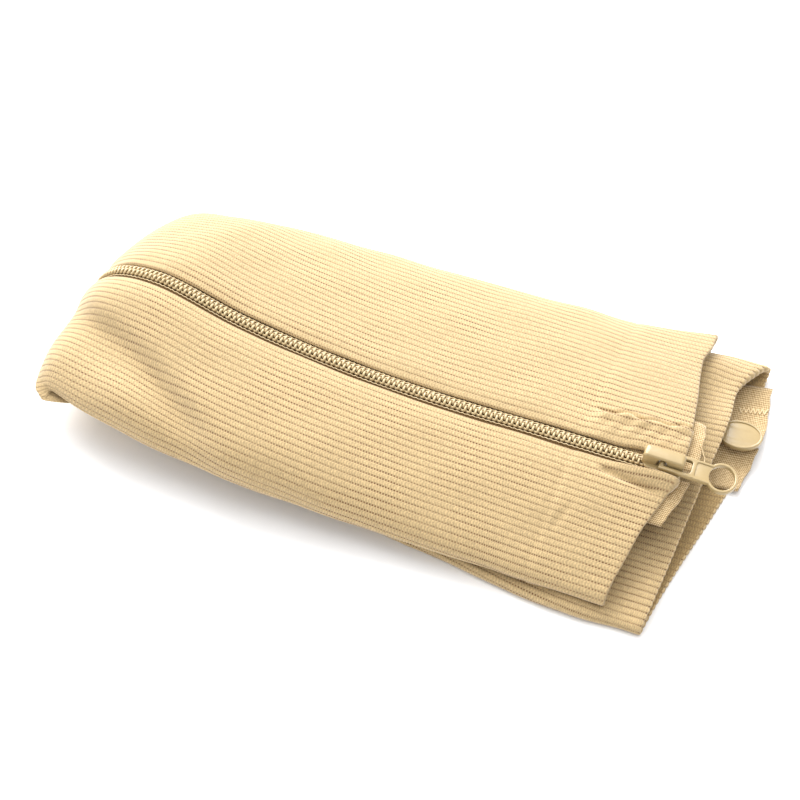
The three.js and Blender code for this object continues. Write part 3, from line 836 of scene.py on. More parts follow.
@dataclass
class KnitLeg:
    """The ribbed tube: one closed sheet with real ribs, rolled edges, puckers and dents."""

    tube: FoldedTube
    ribs: int = 100  # round the tube, 2.4 mm apart on the upper half
    rib_height: float = 0.11
    rib_height_low: float = 0.17  # at the lower mouth, where the knit isn't stretched
    rib_shares: tuple[float, ...] = (0.0, 0.09, 0.25, 0.5, 0.75, 0.91)  # columns of a rib that shows
    hidden_shares: tuple[float, ...] = (0.0, 0.15, 0.5, 0.85)  # columns of a rib between the halves
    rib_square: float = 4.0  # how flat the crown of a rib is
    straighten: float = 55.0  # length over which the ribs even out their places
    # rows of the mesh: up to this length along the zipper, so far apart
    row_steps: tuple[tuple[float, float], ...] = ((46, 1.15), (190, 3.2), (262, 2.0), (400, 7.0), (456, 2.2))
    hidden: tuple[float, float] = (0.27, 0.68)  # the share of the ribs that lies between the halves
    rim_steps: int = 2  # rows of the rolled edge
    rim_stitch: float = 0.45  # mm that a mouth's rolled edge takes up, so that it ends between two stitches
    slit_rim: float = 0.35  # the most that the slit's rolled edges stand out
    inside_rows: int = 3  # the inside keeps one row in so many
    inside_cols: int = 5
    ring_points: int = 260  # on each of a section's four walls, before the ribs are laid
    lining_rise: float = 0.3  # the inside follows the puckers up to this height
    lining_beside: float = 9.0  # nearer to the zipper than this it keeps clear of the tapes,
    lining_level: float = -1.15  # no lower than this,
    lining_thin: float = 0.3  # where that leaves the cloth so thick
    hem_line: float = 61.5  # where the turned hem ends, along X before centring
    hem_rise: float = 0.2
    hem_step: float = 2.2  # over how far it rises
    hem_sewn: Swell = Swell(-0.2, -0.6, 0.7)  # the sewn line beside that step
    wander: float = 0.22  # slow unevenness of the cloth
    ridge: CreaseLine = CreaseLine((31.7, 13.6), (2.8, 17.3))  # puckers behind the upper slider
    ridge_swells: tuple[Swell, ...] = (Swell(1.3, -1.3, 1.5), Swell(0.6, -6.0, 4.0), Swell(-1.3, 0.6, 0.6))
    ridge_rolls: Swell = Swell(0.22, -4.0, 3.5)
    tuck: CreaseLine = CreaseLine((24.5, 6.7), (3.0, 9.8))  # beside the upper slider, at the front
    tuck_fold: Swell = Swell(-1.5, 0.4, 0.8)
    lip: Swell = Swell(1.0, -4.8, 2.4)  # the roll between that tuck and the slider
    lip_low: float = 1.1  # its height away from the mouth
    lip_rise: Swell = Swell(2.7, 4.0, 8.0)  # and what it gains near the mouth
    dimples: tuple[Dimple, ...] = (
        Dimple(0.45, (41.0, 33.5), (16.0, 6.0)),  # a soft dent in the front wall
        Dimple(0.55, (25.5, 28.2), (0.9, 3.5)),  # a short crease across the hem
    )
    valley: CreaseLine = CreaseLine((212.0, 19.0), (146.0, 47.0))  # the hollow beside the folded corner
    valley_depth: float = 4.2
    valley_sides: tuple[float, float] = (4.0, 9.0)  # its steep side toward the zipper and its gentle one
    back_swell: Swell = Swell(0.3, 7.0, 2.5)  # the back edge of the slit
    corner_reach: float = 7.0  # how far round the tube the folded corner has its own shape
    corner_section: float = 8.0  # the section at its tip
    corner_nudge: tuple[float, float, float] = (1.0, -1.5, 0.0)  # moves the tip
    corner_level: float = 12.6  # the tip is laid toward this height
    corner_lay: float = 0.8
    lens: tuple[float, float, float] = (-0.8, -4.0, 0.2)  # opens the corner below its top layer
    shoulder: tuple[float, float, float] = (0.0, 2.2, 1.8)  # lifts the cloth just before the tip
    shoulder_section: float = 6.95
    ear: tuple[float, float, float] = (-68.0, -20.0, 17.0)  # the folded corner is pressed flat beyond this
    ear_press: float = 0.5
    ear_ease: tuple[float, float] = (32.0, 14.0)  # over how far that sets in, along X and Y
    tip: tuple[float, float, float] = (-80.0, -22.0, 13.9)  # its tip is pinched to this height
    tip_press: float = 0.35
    tip_ease: tuple[float, float] = (28.0, 22.0)
    low_edge: Swell = Swell(4.6, 17.0, 10.0)  # how far the lower mouth's lip draws back beside its corner
    low_puff: Swell = Swell(4.3, 9.0, 7.0)  # how far that lip stands up beside its corner
    mouth_draw: float = 2.0  # how far the upper mouth draws back beside the zipper
    scallop: tuple[float, float] = (0.1, 0.28)  # dips between ribs at the upper and the lower mouth

    def rows(self) -> np.ndarray:
        """Sets out the mesh rows, close together where the cloth shows detail.

        Returns:
            Their lengths along the zipper.
        """
        marks = [np.array([0.0])]
        start = 0.0
        for end, step in self.row_steps:
            end = min(end, self.tube.length)
            count = max(int(round((end - start) / step)), 1)
            marks.append(np.linspace(start, end, count + 1)[1:])
            start = end
        return np.concatenate(marks)

    def columns(self) -> np.ndarray:
        """Sets out the mesh columns.

        Returns:
            Their rib numbers, from 0 at the front edge of the slit.
        """
        marks = []
        for rib in range(self.ribs):
            hidden = self.hidden[0] < rib / self.ribs < self.hidden[1]
            marks.extend(rib + share for share in (self.hidden_shares if hidden else self.rib_shares))
        return np.array([*marks, self.ribs])

    def rib_profile(self, s: np.ndarray, rib: np.ndarray) -> np.ndarray:
        """The height of the knit across its ribs, from a narrow line to a flat crown.

        Args:
            s: Length along the zipper, a column.
            rib: Rib numbers, a row.

        Returns:
            Heights, one for each point.
        """
        off = np.abs(2 * (rib % 1.0) - 1)
        loose = smooth((s - self.tube.length + 90) / 60)
        tall = self.rib_height + (self.rib_height_low - self.rib_height) * loose
        return tall * (0.5 - off**self.rib_square)

    def ridge_height(self, s: np.ndarray, back: np.ndarray) -> np.ndarray:
        """The puckered ridge behind the upper slider.

        Args:
            s: Length along the zipper, a column.
            back: Distance from the zipper on the back side.

        Returns:
            Heights, one for each point.
        """
        uneven = 0.55 * np.sin(s / 1.55) + 0.35 * np.sin(s / 3.3 + 1.0)
        q = self.ridge.offset(s, back) - uneven
        rolls = self.ridge_rolls.of(q) * np.sin(s / 0.95 + 0.7 * back)
        window = smooth((s + 2) / 3) * smooth((self.ridge.start[0] + 2 - s) / 5)
        return (sum(swell.of(q) for swell in self.ridge_swells) + rolls) * window

    def lip_height(self, s: np.ndarray, front: np.ndarray) -> np.ndarray:
        """The tuck in front of the upper slider and the rolled lip beside it.

        Args:
            s: Length along the zipper, a column.
            front: Distance from the zipper on the front side.

        Returns:
            Heights, one for each point.
        """
        q = self.tuck.offset(s, front)
        to_end = self.tuck.start[0] + 0.8 - s
        window = smooth(to_end / 3) * (0.35 + 0.65 * smooth((s - 1) / 6))
        roll = (self.lip_low + self.lip_rise.of(s)) * smooth(to_end / 8)
        return self.tuck_fold.of(q) * window + self.lip.of(q) * roll

    def valley_height(self, s: np.ndarray, front: np.ndarray) -> np.ndarray:
        """The hollow beside the folded corner.

        Args:
            s: Length along the zipper, a column.
            front: Distance from the zipper on the front side.

        Returns:
            Heights, one for each point.
        """
        q = self.valley.offset(s, front)
        steep, gentle = self.valley_sides
        window = smooth((self.valley.start[0] + 16 - s) / 36) * smooth((s - self.valley.end[0] + 8) / 24)
        return np.where(q < 0, bell(q, steep), bell(q, gentle)) * -self.valley_depth * window

    def hem_height(self, s: np.ndarray, x: np.ndarray) -> np.ndarray:
        """The turned hem of the upper mouth, with the sewn line where it ends.

        Args:
            s: Length along the zipper, a column.
            x: Place along X before centring.

        Returns:
            Heights, one for each point.
        """
        upper = smooth((100 - s) / 20)
        past = x - self.hem_line
        return (self.hem_rise * smooth(past / self.hem_step + 0.5) + self.hem_sewn.of(past)) * upper

    def pucker(self, s: np.ndarray, front: np.ndarray, back: np.ndarray, x: np.ndarray) -> np.ndarray:
        """How far the cloth stands out of its smooth form.

        Args:
            s: Length along the zipper, a column.
            front: Distance from the zipper on the front side.
            back: Distance from the zipper on the back side.
            x: Place along X before centring.

        Returns:
            Heights, one for each point.
        """
        height = self.ridge_height(s, back) + self.lip_height(s, front)
        height = height + self.valley_height(s, front) + self.hem_height(s, x)
        between = smooth((s - 12) / 8) * smooth((self.tube.length - 40 - s) / 10)
        height = height + self.back_swell.of(back) * between
        height = height - sum(dimple.of(s, front) for dimple in self.dimples)
        wave = np.sin(s / 9.1 + front / 7.3) * np.sin(back / 11.0 - s / 17.0 + 0.8)
        wave = wave + 0.6 * np.sin(s / 4.7 - front / 13.0 + 2.0) * np.sin(front / 5.1 + s / 23.0)
        return height + self.wander * wave

    def laid(self, s: np.ndarray, rib: np.ndarray, marks: np.ndarray) -> np.ndarray:
        """Lays the ribs round the tube, so that they run straight beside the zipper and the creases.

        Args:
            s: Length along the zipper of each row.
            rib: Rib numbers of the columns.
            marks: Arc lengths of the slit's front edge, the two creases and the back edge, for each row.

        Returns:
            Arc lengths, one for each point.
        """
        weight = bell(s[:, None] - s[None, :], self.straighten) * np.gradient(s)
        share = weight @ (marks / marks[:, -1:]) / weight.sum(axis=1, keepdims=True)
        return np.stack([np.interp(rib, share[r] * self.ribs, marks[r]) for r in range(len(s))])

    def build(self, finishes: Finishes) -> bpy.types.Object:
        """Builds and dresses the knit.

        Args:
            finishes: The materials.

        Returns:
            The piece.
        """
        tube = self.tube
        s = self.rows()
        u = tube.at_length(s)
        rib = self.columns()
        count = self.ring_points
        ring = tube.ring(u, count)
        arc = np.concatenate(
            [np.zeros((len(u), 1)), np.cumsum(np.linalg.norm(np.diff(ring, axis=1), axis=2), axis=1)], axis=1
        )
        whole = arc[:, -1:]
        target = self.laid(s, rib, arc[:, [0, count - 1, 3 * count - 3, -1]])
        grid = np.stack(
            [[np.interp(target[r], arc[r], ring[r, :, k]) for r in range(len(u))] for k in range(3)], axis=-1
        )
        normal = unit(np.cross(np.gradient(grid, axis=0), np.gradient(grid, axis=1)))
        front = target + tube.slit_half(u, Side.FRONT)
        back = whole - target + tube.slit_half(u, Side.BACK)
        height = self.pucker(s[:, None], front, back, grid[..., 0] - CENTRE[0])
        from_low = tube.length - s[:, None]
        past_corner = arc[:, 3 * count - 3, None] - target
        puff = smooth(1.8 - from_low / 30) * (0.5 + 0.5 * smooth(from_low / 16))
        height = height + self.low_puff.of(past_corner) * puff
        draw = self.low_edge.of(past_corner) * smooth(past_corner / 6) * smooth(1 - from_low / 32)
        beside = smooth((40 - front) / 20) + smooth((66 - back) / 12)
        draw = draw - self.mouth_draw * beside * smooth(1 - s[:, None] / 26)
        dips = np.abs(2 * (rib[None, :] % 1.0) - 1) ** 2
        upper, lower = self.scallop
        draw = draw + dips * (lower * smooth(1 - from_low / 5) - upper * smooth(1 - s[:, None] / 3))
        grid = grid - unit(np.gradient(grid, axis=0)) * draw[..., None]
        corner = bell(target - arc[:, count - 1, None], self.corner_reach)
        grid = self.opened(grid, corner, (u * (len(tube.sections) - 1))[:, None])
        shaped = grid + normal * (height + self.rib_profile(s[:, None], rib[None, :]))[..., None]
        lining = np.minimum(height, self.lining_rise) - tube.thickness(u)[:, None]
        clear = np.maximum(lining, np.minimum(height - self.lining_thin, self.lining_level))
        lining = np.where(np.minimum(front, back) < self.lining_beside, clear, lining)
        inside = grid + normal * lining[..., None]
        uv = np.stack(np.broadcast_arrays(s[:, None], rib[None, :]), axis=-1)
        return self.join(self.pressed(shaped), self.pressed(inside), normal, uv, finishes)

    def opened(self, grid: np.ndarray, corner: np.ndarray, place: np.ndarray) -> np.ndarray:
        """Opens the folded corner and lays its tip.

        Args:
            grid: Points of the cloth.
            corner: How much each point belongs to the corner, from 0 to 1.
            place: Where each row lies, counted in sections.

        Returns:
            The points.
        """
        past = place - self.corner_section
        below = smooth(past / 1.3) * smooth((2.1 - past) / 0.8)
        before = bell(place - self.shoulder_section, 0.33)
        moves = ((bell(past, 0.6), self.corner_nudge), (below, self.lens), (before, self.shoulder))
        for share, move in moves:
            grid = grid + (share * corner)[..., None] * np.array(move)
        grid[..., 2] += (self.corner_level - grid[..., 2]) * self.corner_lay * bell(past, 1.0) * corner
        return grid

    def pressed(self, grid: np.ndarray) -> np.ndarray:
        """Presses the folded corner flat.

        Args:
            grid: Points of the cloth.

        Returns:
            The points, with the underside of the corner drawn up and its tip pinched.
        """
        x, y, z = np.moveaxis(grid - CENTRE, -1, 0)
        share = smooth((self.ear[0] - x) / self.ear_ease[0]) * smooth((self.ear[1] - y) / self.ear_ease[1])
        z = z + np.maximum(self.ear[2] - z, 0) * share * self.ear_press
        pinch = smooth((self.tip[0] - x) / self.tip_ease[0]) * smooth((self.tip[1] - y) / self.tip_ease[1])
        z = z + (self.tip[2] - z) * pinch * self.tip_press
        return np.stack([x, y, z], axis=-1) + CENTRE

    def rolled(self, grid: np.ndarray, inside: np.ndarray, normal: np.ndarray, axis: int) -> np.ndarray:
        """Adds the rows or columns of a rolled edge at both ends of a grid.

        Args:
            grid: The outside points.
            inside: The inside points beside them.
            normal: The outward directions.
            axis: 0 for the mouths, 1 for the edges of the slit.

        Returns:
            The longer grid.
        """
        parts = []
        for first, second in ((0, 1), (-1, -2)):
            edge, next_in = np.take(grid, first, axis), np.take(grid, second, axis)
            below, n = np.take(inside, first, axis), np.take(normal, first, axis)
            away = edge - next_in
            away = unit(away - n * dot(away, n))
            half = np.linalg.norm(edge - below, axis=-1, keepdims=True) / 2
            radius = np.minimum(half, self.slit_rim) if axis else half
            middle = (edge + below) / 2
            turns = np.pi * np.arange(1, self.rim_steps + 1) / (self.rim_steps + 1)
            rim = [middle + (edge - middle) * math.cos(a) + away * radius * math.sin(a) for a in turns]
            parts.append(np.stack(rim if first else rim[::-1], axis))
        return np.concatenate([parts[0], grid, parts[1]], axis)

    def join(
        self, shaped: np.ndarray, inside: np.ndarray, normal: np.ndarray, uv: np.ndarray, finishes: Finishes
    ) -> bpy.types.Object:
        """Joins the ribbed outside, the rolled edges and the plainer inside into one closed mesh.

        Args:
            shaped: The outside points.
            inside: The inside points.
            normal: The outward directions.
            uv: Length and rib number of each point.
            finishes: The materials.

        Returns:
            The piece.
        """
        k = self.rim_steps
        rows, cols = shaped.shape[:2]
        wide = self.rolled(shaped, inside, normal, 1)
        wide_in = np.concatenate([inside[:, :1]] * k + [inside] + [inside[:, -1:]] * k, axis=1)
        wide_n = np.concatenate([normal[:, :1]] * k + [normal] + [normal[:, -1:]] * k, axis=1)
        whole = self.rolled(wide, wide_in, wide_n, 0)
        whole[..., 2] = np.maximum(whole[..., 2], CLEARANCE)
        r_all, c_all = whole.shape[:2]
        r_in = np.unique(np.r_[np.arange(0, rows, self.inside_rows), rows - 1])
        c_in = np.unique(np.r_[np.arange(0, cols, self.inside_cols), cols - 1])
        lining = inside[np.ix_(r_in, c_in)]
        first = r_all * c_all
        skin = grid_faces(r_all, c_all)
        back = grid_faces(len(r_in), len(c_in), first)[:, ::-1]
        rims: list[list[int]] = []
        for a in range(len(c_in) - 1):
            lo = 0 if a == 0 else c_in[a] + k
            hi = c_all - 1 if a == len(c_in) - 2 else c_in[a + 1] + k
            top = list(range(lo, hi + 1))
            rims.append(top + [first + a + 1, first + a])
            low = (r_all - 1) * c_all
            end = first + (len(r_in) - 1) * len(c_in)
            rims.append([low + c for c in reversed(top)] + [end + a, end + a + 1])
        for b in range(len(r_in) - 1):
            lo = 0 if b == 0 else r_in[b] + k
            hi = r_all - 1 if b == len(r_in) - 2 else r_in[b + 1] + k
            down = list(range(lo, hi + 1))
            left, right = first + b * len(c_in), first + b * len(c_in) + len(c_in) - 1
            rims.append([r * c_all for r in reversed(down)] + [left, left + len(c_in)])
            rims.append([r * c_all + c_all - 1 for r in down] + [right + len(c_in), right])
        points = np.concatenate([whole.reshape(-1, 3), lining.reshape(-1, 3)])
        pad = ((k, k), (k, k), (0, 0))
        uv_out = np.pad(uv, pad, mode="edge")
        uv_out[:, :k, 1] -= 0.5  # the rolled edges of the slit are the crown of a rib
        uv_out[:, -k:, 1] += 0.5
        uv_out[:k, :, 0] -= self.rim_stitch
        uv_out[-k:, :, 0] += self.rim_stitch
        uv_all = np.concatenate([uv_out.reshape(-1, 2), uv[np.ix_(r_in, c_in)].reshape(-1, 2)])
        faces = skin.tolist() + back.tolist() + rims
        slots = np.zeros(len(faces))
        slots[len(skin) : len(skin) + len(back)] = 1
        piece = mesh_object("rib_knit_leg", points, faces, [finishes.knit, finishes.purl], uv_all, slots)
        outward(piece)
        dressed(piece, Body.SOCK, Slot.KNIT, "knit_leg")
        return piece


# The zipper


def closed_sheet(
    name: str, top: np.ndarray, low: np.ndarray, material: bpy.types.Material, uv: np.ndarray
) -> bpy.types.Object:
    """Makes a thin closed sheet between two equal grids.

    Args:
        name: The piece's name.
        top: Points of the upper face.
        low: Points of the lower face.
        material: Its material.
        uv: A UV for each grid point.

    Returns:
        The object.
    """
    rows, cols = top.shape[:2]
    count = rows * cols
    faces = grid_faces(rows, cols).tolist() + grid_faces(rows, cols, count)[:, ::-1].tolist()
    ring = [*range(cols), *range(2 * cols - 1, count, cols)]
    ring += [*range(count - 2, count - cols - 1, -1), *range(count - 2 * cols, 0, -cols)]
    for a, b in zip(ring, ring[1:] + ring[:1]):
        faces.append([a, b, b + count, a + count])
    points = np.concatenate([top.reshape(-1, 3), low.reshape(-1, 3)])
    both = np.concatenate([uv.reshape(-1, 2)] * 2)
    made = mesh_object(name, points, faces, [material], both)
    outward(made)
    return made


def outward(piece: bpy.types.Object) -> None:
    """Turns every face of a closed mesh outward.

    Args:
        piece: The mesh object.
    """
    work = bmesh.new()
    work.from_mesh(piece.data)
    bmesh.ops.recalc_face_normals(work, faces=work.faces)
    work.to_mesh(piece.data)
    work.free()


def tube_mesh(path: np.ndarray, side: np.ndarray, radius: float, sides: int) -> tuple[np.ndarray, list]:
    """A round rod along a path.

    Args:
        path: Points of its middle line.
        side: A direction at each point that is not along the path.
        radius: Its radius.
        sides: Points round it.

    Returns:
        Points and faces.
    """
    run = unit(np.gradient(path, axis=0))
    first = unit(np.cross(run, side))
    second = np.cross(run, first)
    turn = np.linspace(0, 2 * np.pi, sides, endpoint=False)[None, :, None]
    ring = path[:, None] + radius * (first[:, None] * np.cos(turn) + second[:, None] * np.sin(turn))
    faces = grid_faces(len(path), sides, wrap=True)[:, ::-1].tolist()
    last = (len(path) - 1) * sides
    faces += [list(range(sides - 1, -1, -1)), list(range(last, last + sides))]
    return ring.reshape(-1, 3), faces


def merged(parts: list[tuple[np.ndarray, list]]) -> tuple[np.ndarray, list]:
    """Puts several meshes into one.

    Args:
        parts: Points and faces of each.

    Returns:
        All points, and all faces with their numbers moved on.
    """
    points, faces, first = [], [], 0
    for some, these in parts:
        points.append(some)
        faces += [[v + first for v in face] for face in these]
        first += len(some)
    return np.concatenate(points), faces


@dataclass
class ZipperTape:
    """One woven tape under the knit's slit, with its free ends past both mouths."""

    tube: FoldedTube
    side: Side
    lower_flare: float  # how much wider the free ends spread
    upper_flare: float
    upper_end: float  # how far they stand past the mouths
    lower_end: float = 3.2
    flare_from: float = 18.0  # the ends start to spread so far from the mouths
    gap: float = 0.3  # below the knit
    thick: float = 0.8
    inner: float = 0.4  # from the zipper's line
    spread: float = 1.7  # more than that past the sliders
    spread_from: float = 0.6  # past a slider's middle
    spread_ease: float = 1.8
    outer: float = 15.4
    upper_inset: float = 7.0  # from the mouths to the sliders
    lower_inset: float = 21.0
    lean_from: float = 3.0  # up to here the tape lies square to the zipper's own frame
    lean_ease: float = 5.0  # and over this distance it comes to follow the cloth
    step: float = 2.4
    end_steps: int = 8
    columns: int = 15

    def surface(self, s: np.ndarray, share: np.ndarray, past: np.ndarray, depth: float) -> np.ndarray:
        """Points of the tape.

        Args:
            s: Lengths along the zipper.
            share: Places across, from 0 at the zipper to 1 at the outer edge.
            past: How far past the nearer mouth each row stands.
            depth: How far below the tape's top.

        Returns:
            A grid of points, a row for each length.
        """
        tube = self.tube
        u = tube.at_length(s)
        near = np.minimum(s, tube.length - s)
        inset = np.where(u < 0.5, self.upper_inset, self.lower_inset)
        low = self.inner + self.spread * smooth((inset - self.spread_from - near) / self.spread_ease)
        flare = np.where(u < 0.5, self.upper_flare, self.lower_flare)
        high = self.outer + flare * smooth(2 * (1 - near / self.flare_from))
        d = low[:, None] + (high - low)[:, None] * share[None, :]
        across = tube.across(u, self.side, Face.OUTER)
        grid = tube.points(u, self.side, Face.OUTER, 1 - d / across)
        nudge = tube.points(u, self.side, Face.OUTER, 1 - (d + 0.2) / across)
        _, along, _, out = tube.zip_frames(u)
        flip = 1.0 if self.side is Side.FRONT else -1.0
        normal = unit(np.cross(np.broadcast_to(along[:, None], grid.shape), nudge - grid)) * flip
        lean = smooth((d - self.lean_from) / self.lean_ease)[..., None]
        normal = unit(out[:, None] * (1 - lean) + normal * lean)
        grid = grid - normal * (tube.thickness(u)[:, None, None] + self.gap + depth)
        way = along * np.where(u < 0.5, -1.0, 1.0)[:, None]
        share_past = (past / self.upper_end)[:, None]
        ragged = past[:, None] + share_past * (0.15 * np.sin(d * 0.7 + 1.0) + 0.08 * np.sin(d * 2.6))
        grid = grid + way[:, None] * ragged[..., None]
        curl = share_past**2 * (0.5 * np.sin(d / 2.4 + 0.8) - 0.3)
        lift = np.where(u < 0.5, 1.0, 0.15)[:, None]
        return grid + normal * (curl * lift)[..., None]

    def build(self, finishes: Finishes) -> bpy.types.Object:
        """Builds and dresses the tape.

        Args:
            finishes: The materials.

        Returns:
            The piece.
        """
        length = self.tube.length
        body = np.linspace(0, length, int(length / self.step))
        tail = np.arange(1, self.end_steps + 1) / self.end_steps
        s = np.r_[np.zeros(self.end_steps), body, np.full(self.end_steps, length)]
        past = np.r_[tail[::-1] * self.upper_end, np.zeros(len(body)), tail * self.lower_end]
        share = np.linspace(0, 1, self.columns)
        top, low = (self.surface(s, share, past, depth) for depth in (0.0, self.thick))
        low[..., 2] = np.maximum(low[..., 2], CLEARANCE)
        run = np.r_[-tail[::-1] * self.upper_end, body, length + tail * self.lower_end]
        uv = np.stack(np.broadcast_arrays(run[:, None], share[None, :] * self.outer), axis=-1)
        node = "zipper_tape_" + self.side.value
        piece = closed_sheet("woven_tape_" + self.side.value, top, low, finishes.tape, uv)
        dressed(piece, Body.SOCK, Slot.TAPE, node)
        if self.side is Side.BACK:
            self.threads(finishes)
        return piece

    def threads(self, finishes: Finishes) -> None:
        """Adds the zigzag sewn across the lower end and the loose loop at the upper end.

        Args:
            finishes: The materials.
        """
        length = self.tube.length
        t = np.linspace(0, 1, 49)
        run = (t - 0.72) * 9.5  # mm past the mouth
        swing = np.abs((t * 12) % 2 - 1)  # 12 strokes from side to side
        share = 0.47 + 0.1 * swing + 0.05 * t
        zigzag = self.surface(length + np.minimum(run, 0), share, np.maximum(run, 0), self.thick + 0.14)
        bend = np.sin(np.pi * t)
        loop = self.surface(np.zeros(len(t)), 0.55 - 0.55 * t, self.upper_end - 1.0 + 2.6 * bend, -0.3)
        for name, grid, radius in (("zigzag_stitch", zigzag, 0.26), ("loose_thread", loop, 0.16)):
            path = np.diagonal(grid).T
            up = np.tile((0.0, 0.0, 1.0), (len(t), 1))
            piece = mesh_object(name, *tube_mesh(path, up, radius, 6), [finishes.thread])
            dressed(piece, Body.SOCK, Slot.TAPE)


@dataclass
class CoilRow:
    """One row of coiled teeth, wound from a single filament, and the thread that sews it down."""

    tube: FoldedTube
    side: Side
    pitch: float = 1.75
    wire: float = 0.4  # radius of the filament
    inner: float = -0.15  # the heads reach past the middle, between those of the other row
    outer: float = 1.5
    middle: float = -0.15  # height of the winding's middle above the cloth's outside
    rise: float = 0.5  # half its height
    first: float = 6.0
    last: float = 20.0  # from the lower mouth
    turn_points: int = 16
    sides: int = 6
    head: float = 0.75  # below 1 the heads are squarer
    thread: float = 0.15  # radius of the sewing thread
    thread_at: float = 2.35
    thread_height: float = -0.5
    thread_beat: float = 0.16  # how far it dips between two teeth
    thread_points: int = 6  # along it for each tooth
    thread_sides: int = 5
    crossing: tuple[float, float] = (0.45, 0.35)  # in each turn the filament moves on from here, over so much

    def placed(self, s: np.ndarray, d: np.ndarray, height: np.ndarray) -> tuple[np.ndarray, np.ndarray]:
        """Points beside the zipper's line.

        Args:
            s: Lengths along the zipper.
            d: Distances from its line.
            height: Heights above the cloth's outside.

        Returns:
            The points, and the way along the zipper at each.
        """
        at, along, back, out = self.tube.zip_frames(self.tube.at_length(s))
        sign = -1.0 if self.side is Side.FRONT else 1.0
        return at + back * (sign * d)[:, None] + out * height[:, None], along

    def build(self, finishes: Finishes) -> None:
        """Builds and dresses the row.

        Args:
            finishes: The materials.
        """
        start = self.first + (0 if self.side is Side.FRONT else self.pitch / 2)
        turns = int((self.tube.length - self.last - start) / self.pitch)
        angle = np.linspace(0, 2 * np.pi * turns, turns * self.turn_points + 1)
        boxy = np.sign(np.cos(angle)) * np.abs(np.cos(angle)) ** self.head
        d = (self.inner + self.outer) / 2 - (self.outer - self.inner) / 2 * boxy
        turn = angle / (2 * np.pi)
        begin, over = self.crossing
        s = start + self.pitch * (np.floor(turn) + smooth((turn % 1.0 - begin) / over))
        path, along = self.placed(s, d, self.middle + self.rise * np.sin(angle))
        coil = tube_mesh(path, along, self.wire, self.sides)
        piece = mesh_object("coil_teeth_" + self.side.value, *coil, [finishes.coil])
        dressed(piece, Body.SOCK, Slot.COIL, "zipper_coil_" + self.side.value)
        s = np.linspace(start, start + turns * self.pitch, turns * self.thread_points + 1)
        beat = np.cos(2 * np.pi * (s - start - self.pitch / 4) / self.pitch)
        height = self.thread_height + self.thread_beat * beat
        path, beside = (self.placed(s, np.full(len(s), self.thread_at + d), height)[0] for d in (0, 1))
        sewn = tube_mesh(path, beside - path, self.thread, self.thread_sides)
        piece = mesh_object("coil_thread_" + self.side.value, *sewn, [finishes.thread])
        dressed(piece, Body.SOCK, Slot.TAPE)


# Sliders and pulls


def rounded(corners: list[tuple[float, float, float]], steps: int = 8) -> list[tuple[float, float]]:
    """A closed outline with rounded corners.

    Args:
        corners: x, y and corner radius of each corner in turn.
        steps: Points on each rounded corner.

    Returns:
        The outline's points.
    """
    made = []
    count = len(corners)
    for k, (x, y, radius) in enumerate(corners):
        p = np.array((x, y), float)
        before = np.array(corners[k - 1][:2], float) - p
        after = np.array(corners[(k + 1) % count][:2], float) - p
        reach = min(radius, 0.48 * float(np.linalg.norm(before)), 0.48 * float(np.linalg.norm(after)))
        a, b = p + unit(before) * reach, p + unit(after) * reach
        for t in np.linspace(0, 1, steps if radius else 1):
            made.append(tuple((1 - t) ** 2 * a + 2 * t * (1 - t) * p + t * t * b))
    return made


def oval(x: float, y: float, rx: float, ry: float, steps: int = 48) -> list[tuple[float, float]]:
    """The points of an ellipse."""
    turn = np.linspace(0, 2 * np.pi, steps, endpoint=False)
    return [(x + rx * math.cos(a), y + ry * math.sin(a)) for a in turn]


def cast_plate(outlines: list, low: float, high: float, bevel: float) -> tuple[np.ndarray, list]:
    """A plate with rounded edges, cast from a filled outline and its holes.

    Args:
        outlines: The outline, then its holes.
        low: Height of its lower face.
        high: Height of its upper face.
        bevel: Radius of its edges.

    Returns:
        Points and faces.
    """
    curve = bpy.data.curves.new("plate", "CURVE")
    curve.dimensions = "2D"
    curve.fill_mode = "BOTH"
    curve.extrude = (high - low) / 2 - bevel
    curve.bevel_depth = bevel
    curve.bevel_resolution = 2
    curve.offset = -bevel
    for outline in outlines:
        spline = curve.splines.new("POLY")
        spline.points.add(len(outline) - 1)
        for point, (x, y) in zip(spline.points, outline):
            point.co = (x, y, 0, 1)
        spline.use_cyclic_u = True
    holder = bpy.data.objects.new("plate", curve)
    bpy.context.scene.collection.objects.link(holder)
    mesh = bpy.data.meshes.new_from_object(holder.evaluated_get(bpy.context.evaluated_depsgraph_get()))
    work = bmesh.new()
    work.from_mesh(mesh)
    bmesh.ops.remove_doubles(work, verts=work.verts, dist=1e-4)
    bmesh.ops.recalc_face_normals(work, faces=work.faces)
    work.verts.index_update()
    points = np.array([v.co[:] for v in work.verts])
    points[:, 2] += (low + high) / 2
    faces = [[v.index for v in f.verts] for f in work.faces]
    work.free()
    bpy.data.objects.remove(holder)
    bpy.data.curves.remove(curve)
    bpy.data.meshes.remove(mesh)
    return points, faces


def moved(part: tuple[np.ndarray, list], matrix: Matrix) -> tuple[np.ndarray, list]:
    """A mesh with its points moved by a matrix."""
    m = np.array(matrix)
    return part[0] @ m[:3, :3].T + m[:3, 3], part[1]


def pin_rod(radius: float, length: float) -> tuple[np.ndarray, list]:
    """A round pin along Y."""
    path = np.linspace((0, -length / 2, 0), (0, length / 2, 0), 3)
    return tube_mesh(path, np.tile((1.0, 0, 0), (3, 1)), radius, 20)


def mirrored(path: list[tuple[float, float]]) -> list[tuple[float, float]]:
    """The other half of an outline, from its end back to its start."""
    return [(x, -y) for x, y in reversed(path)]


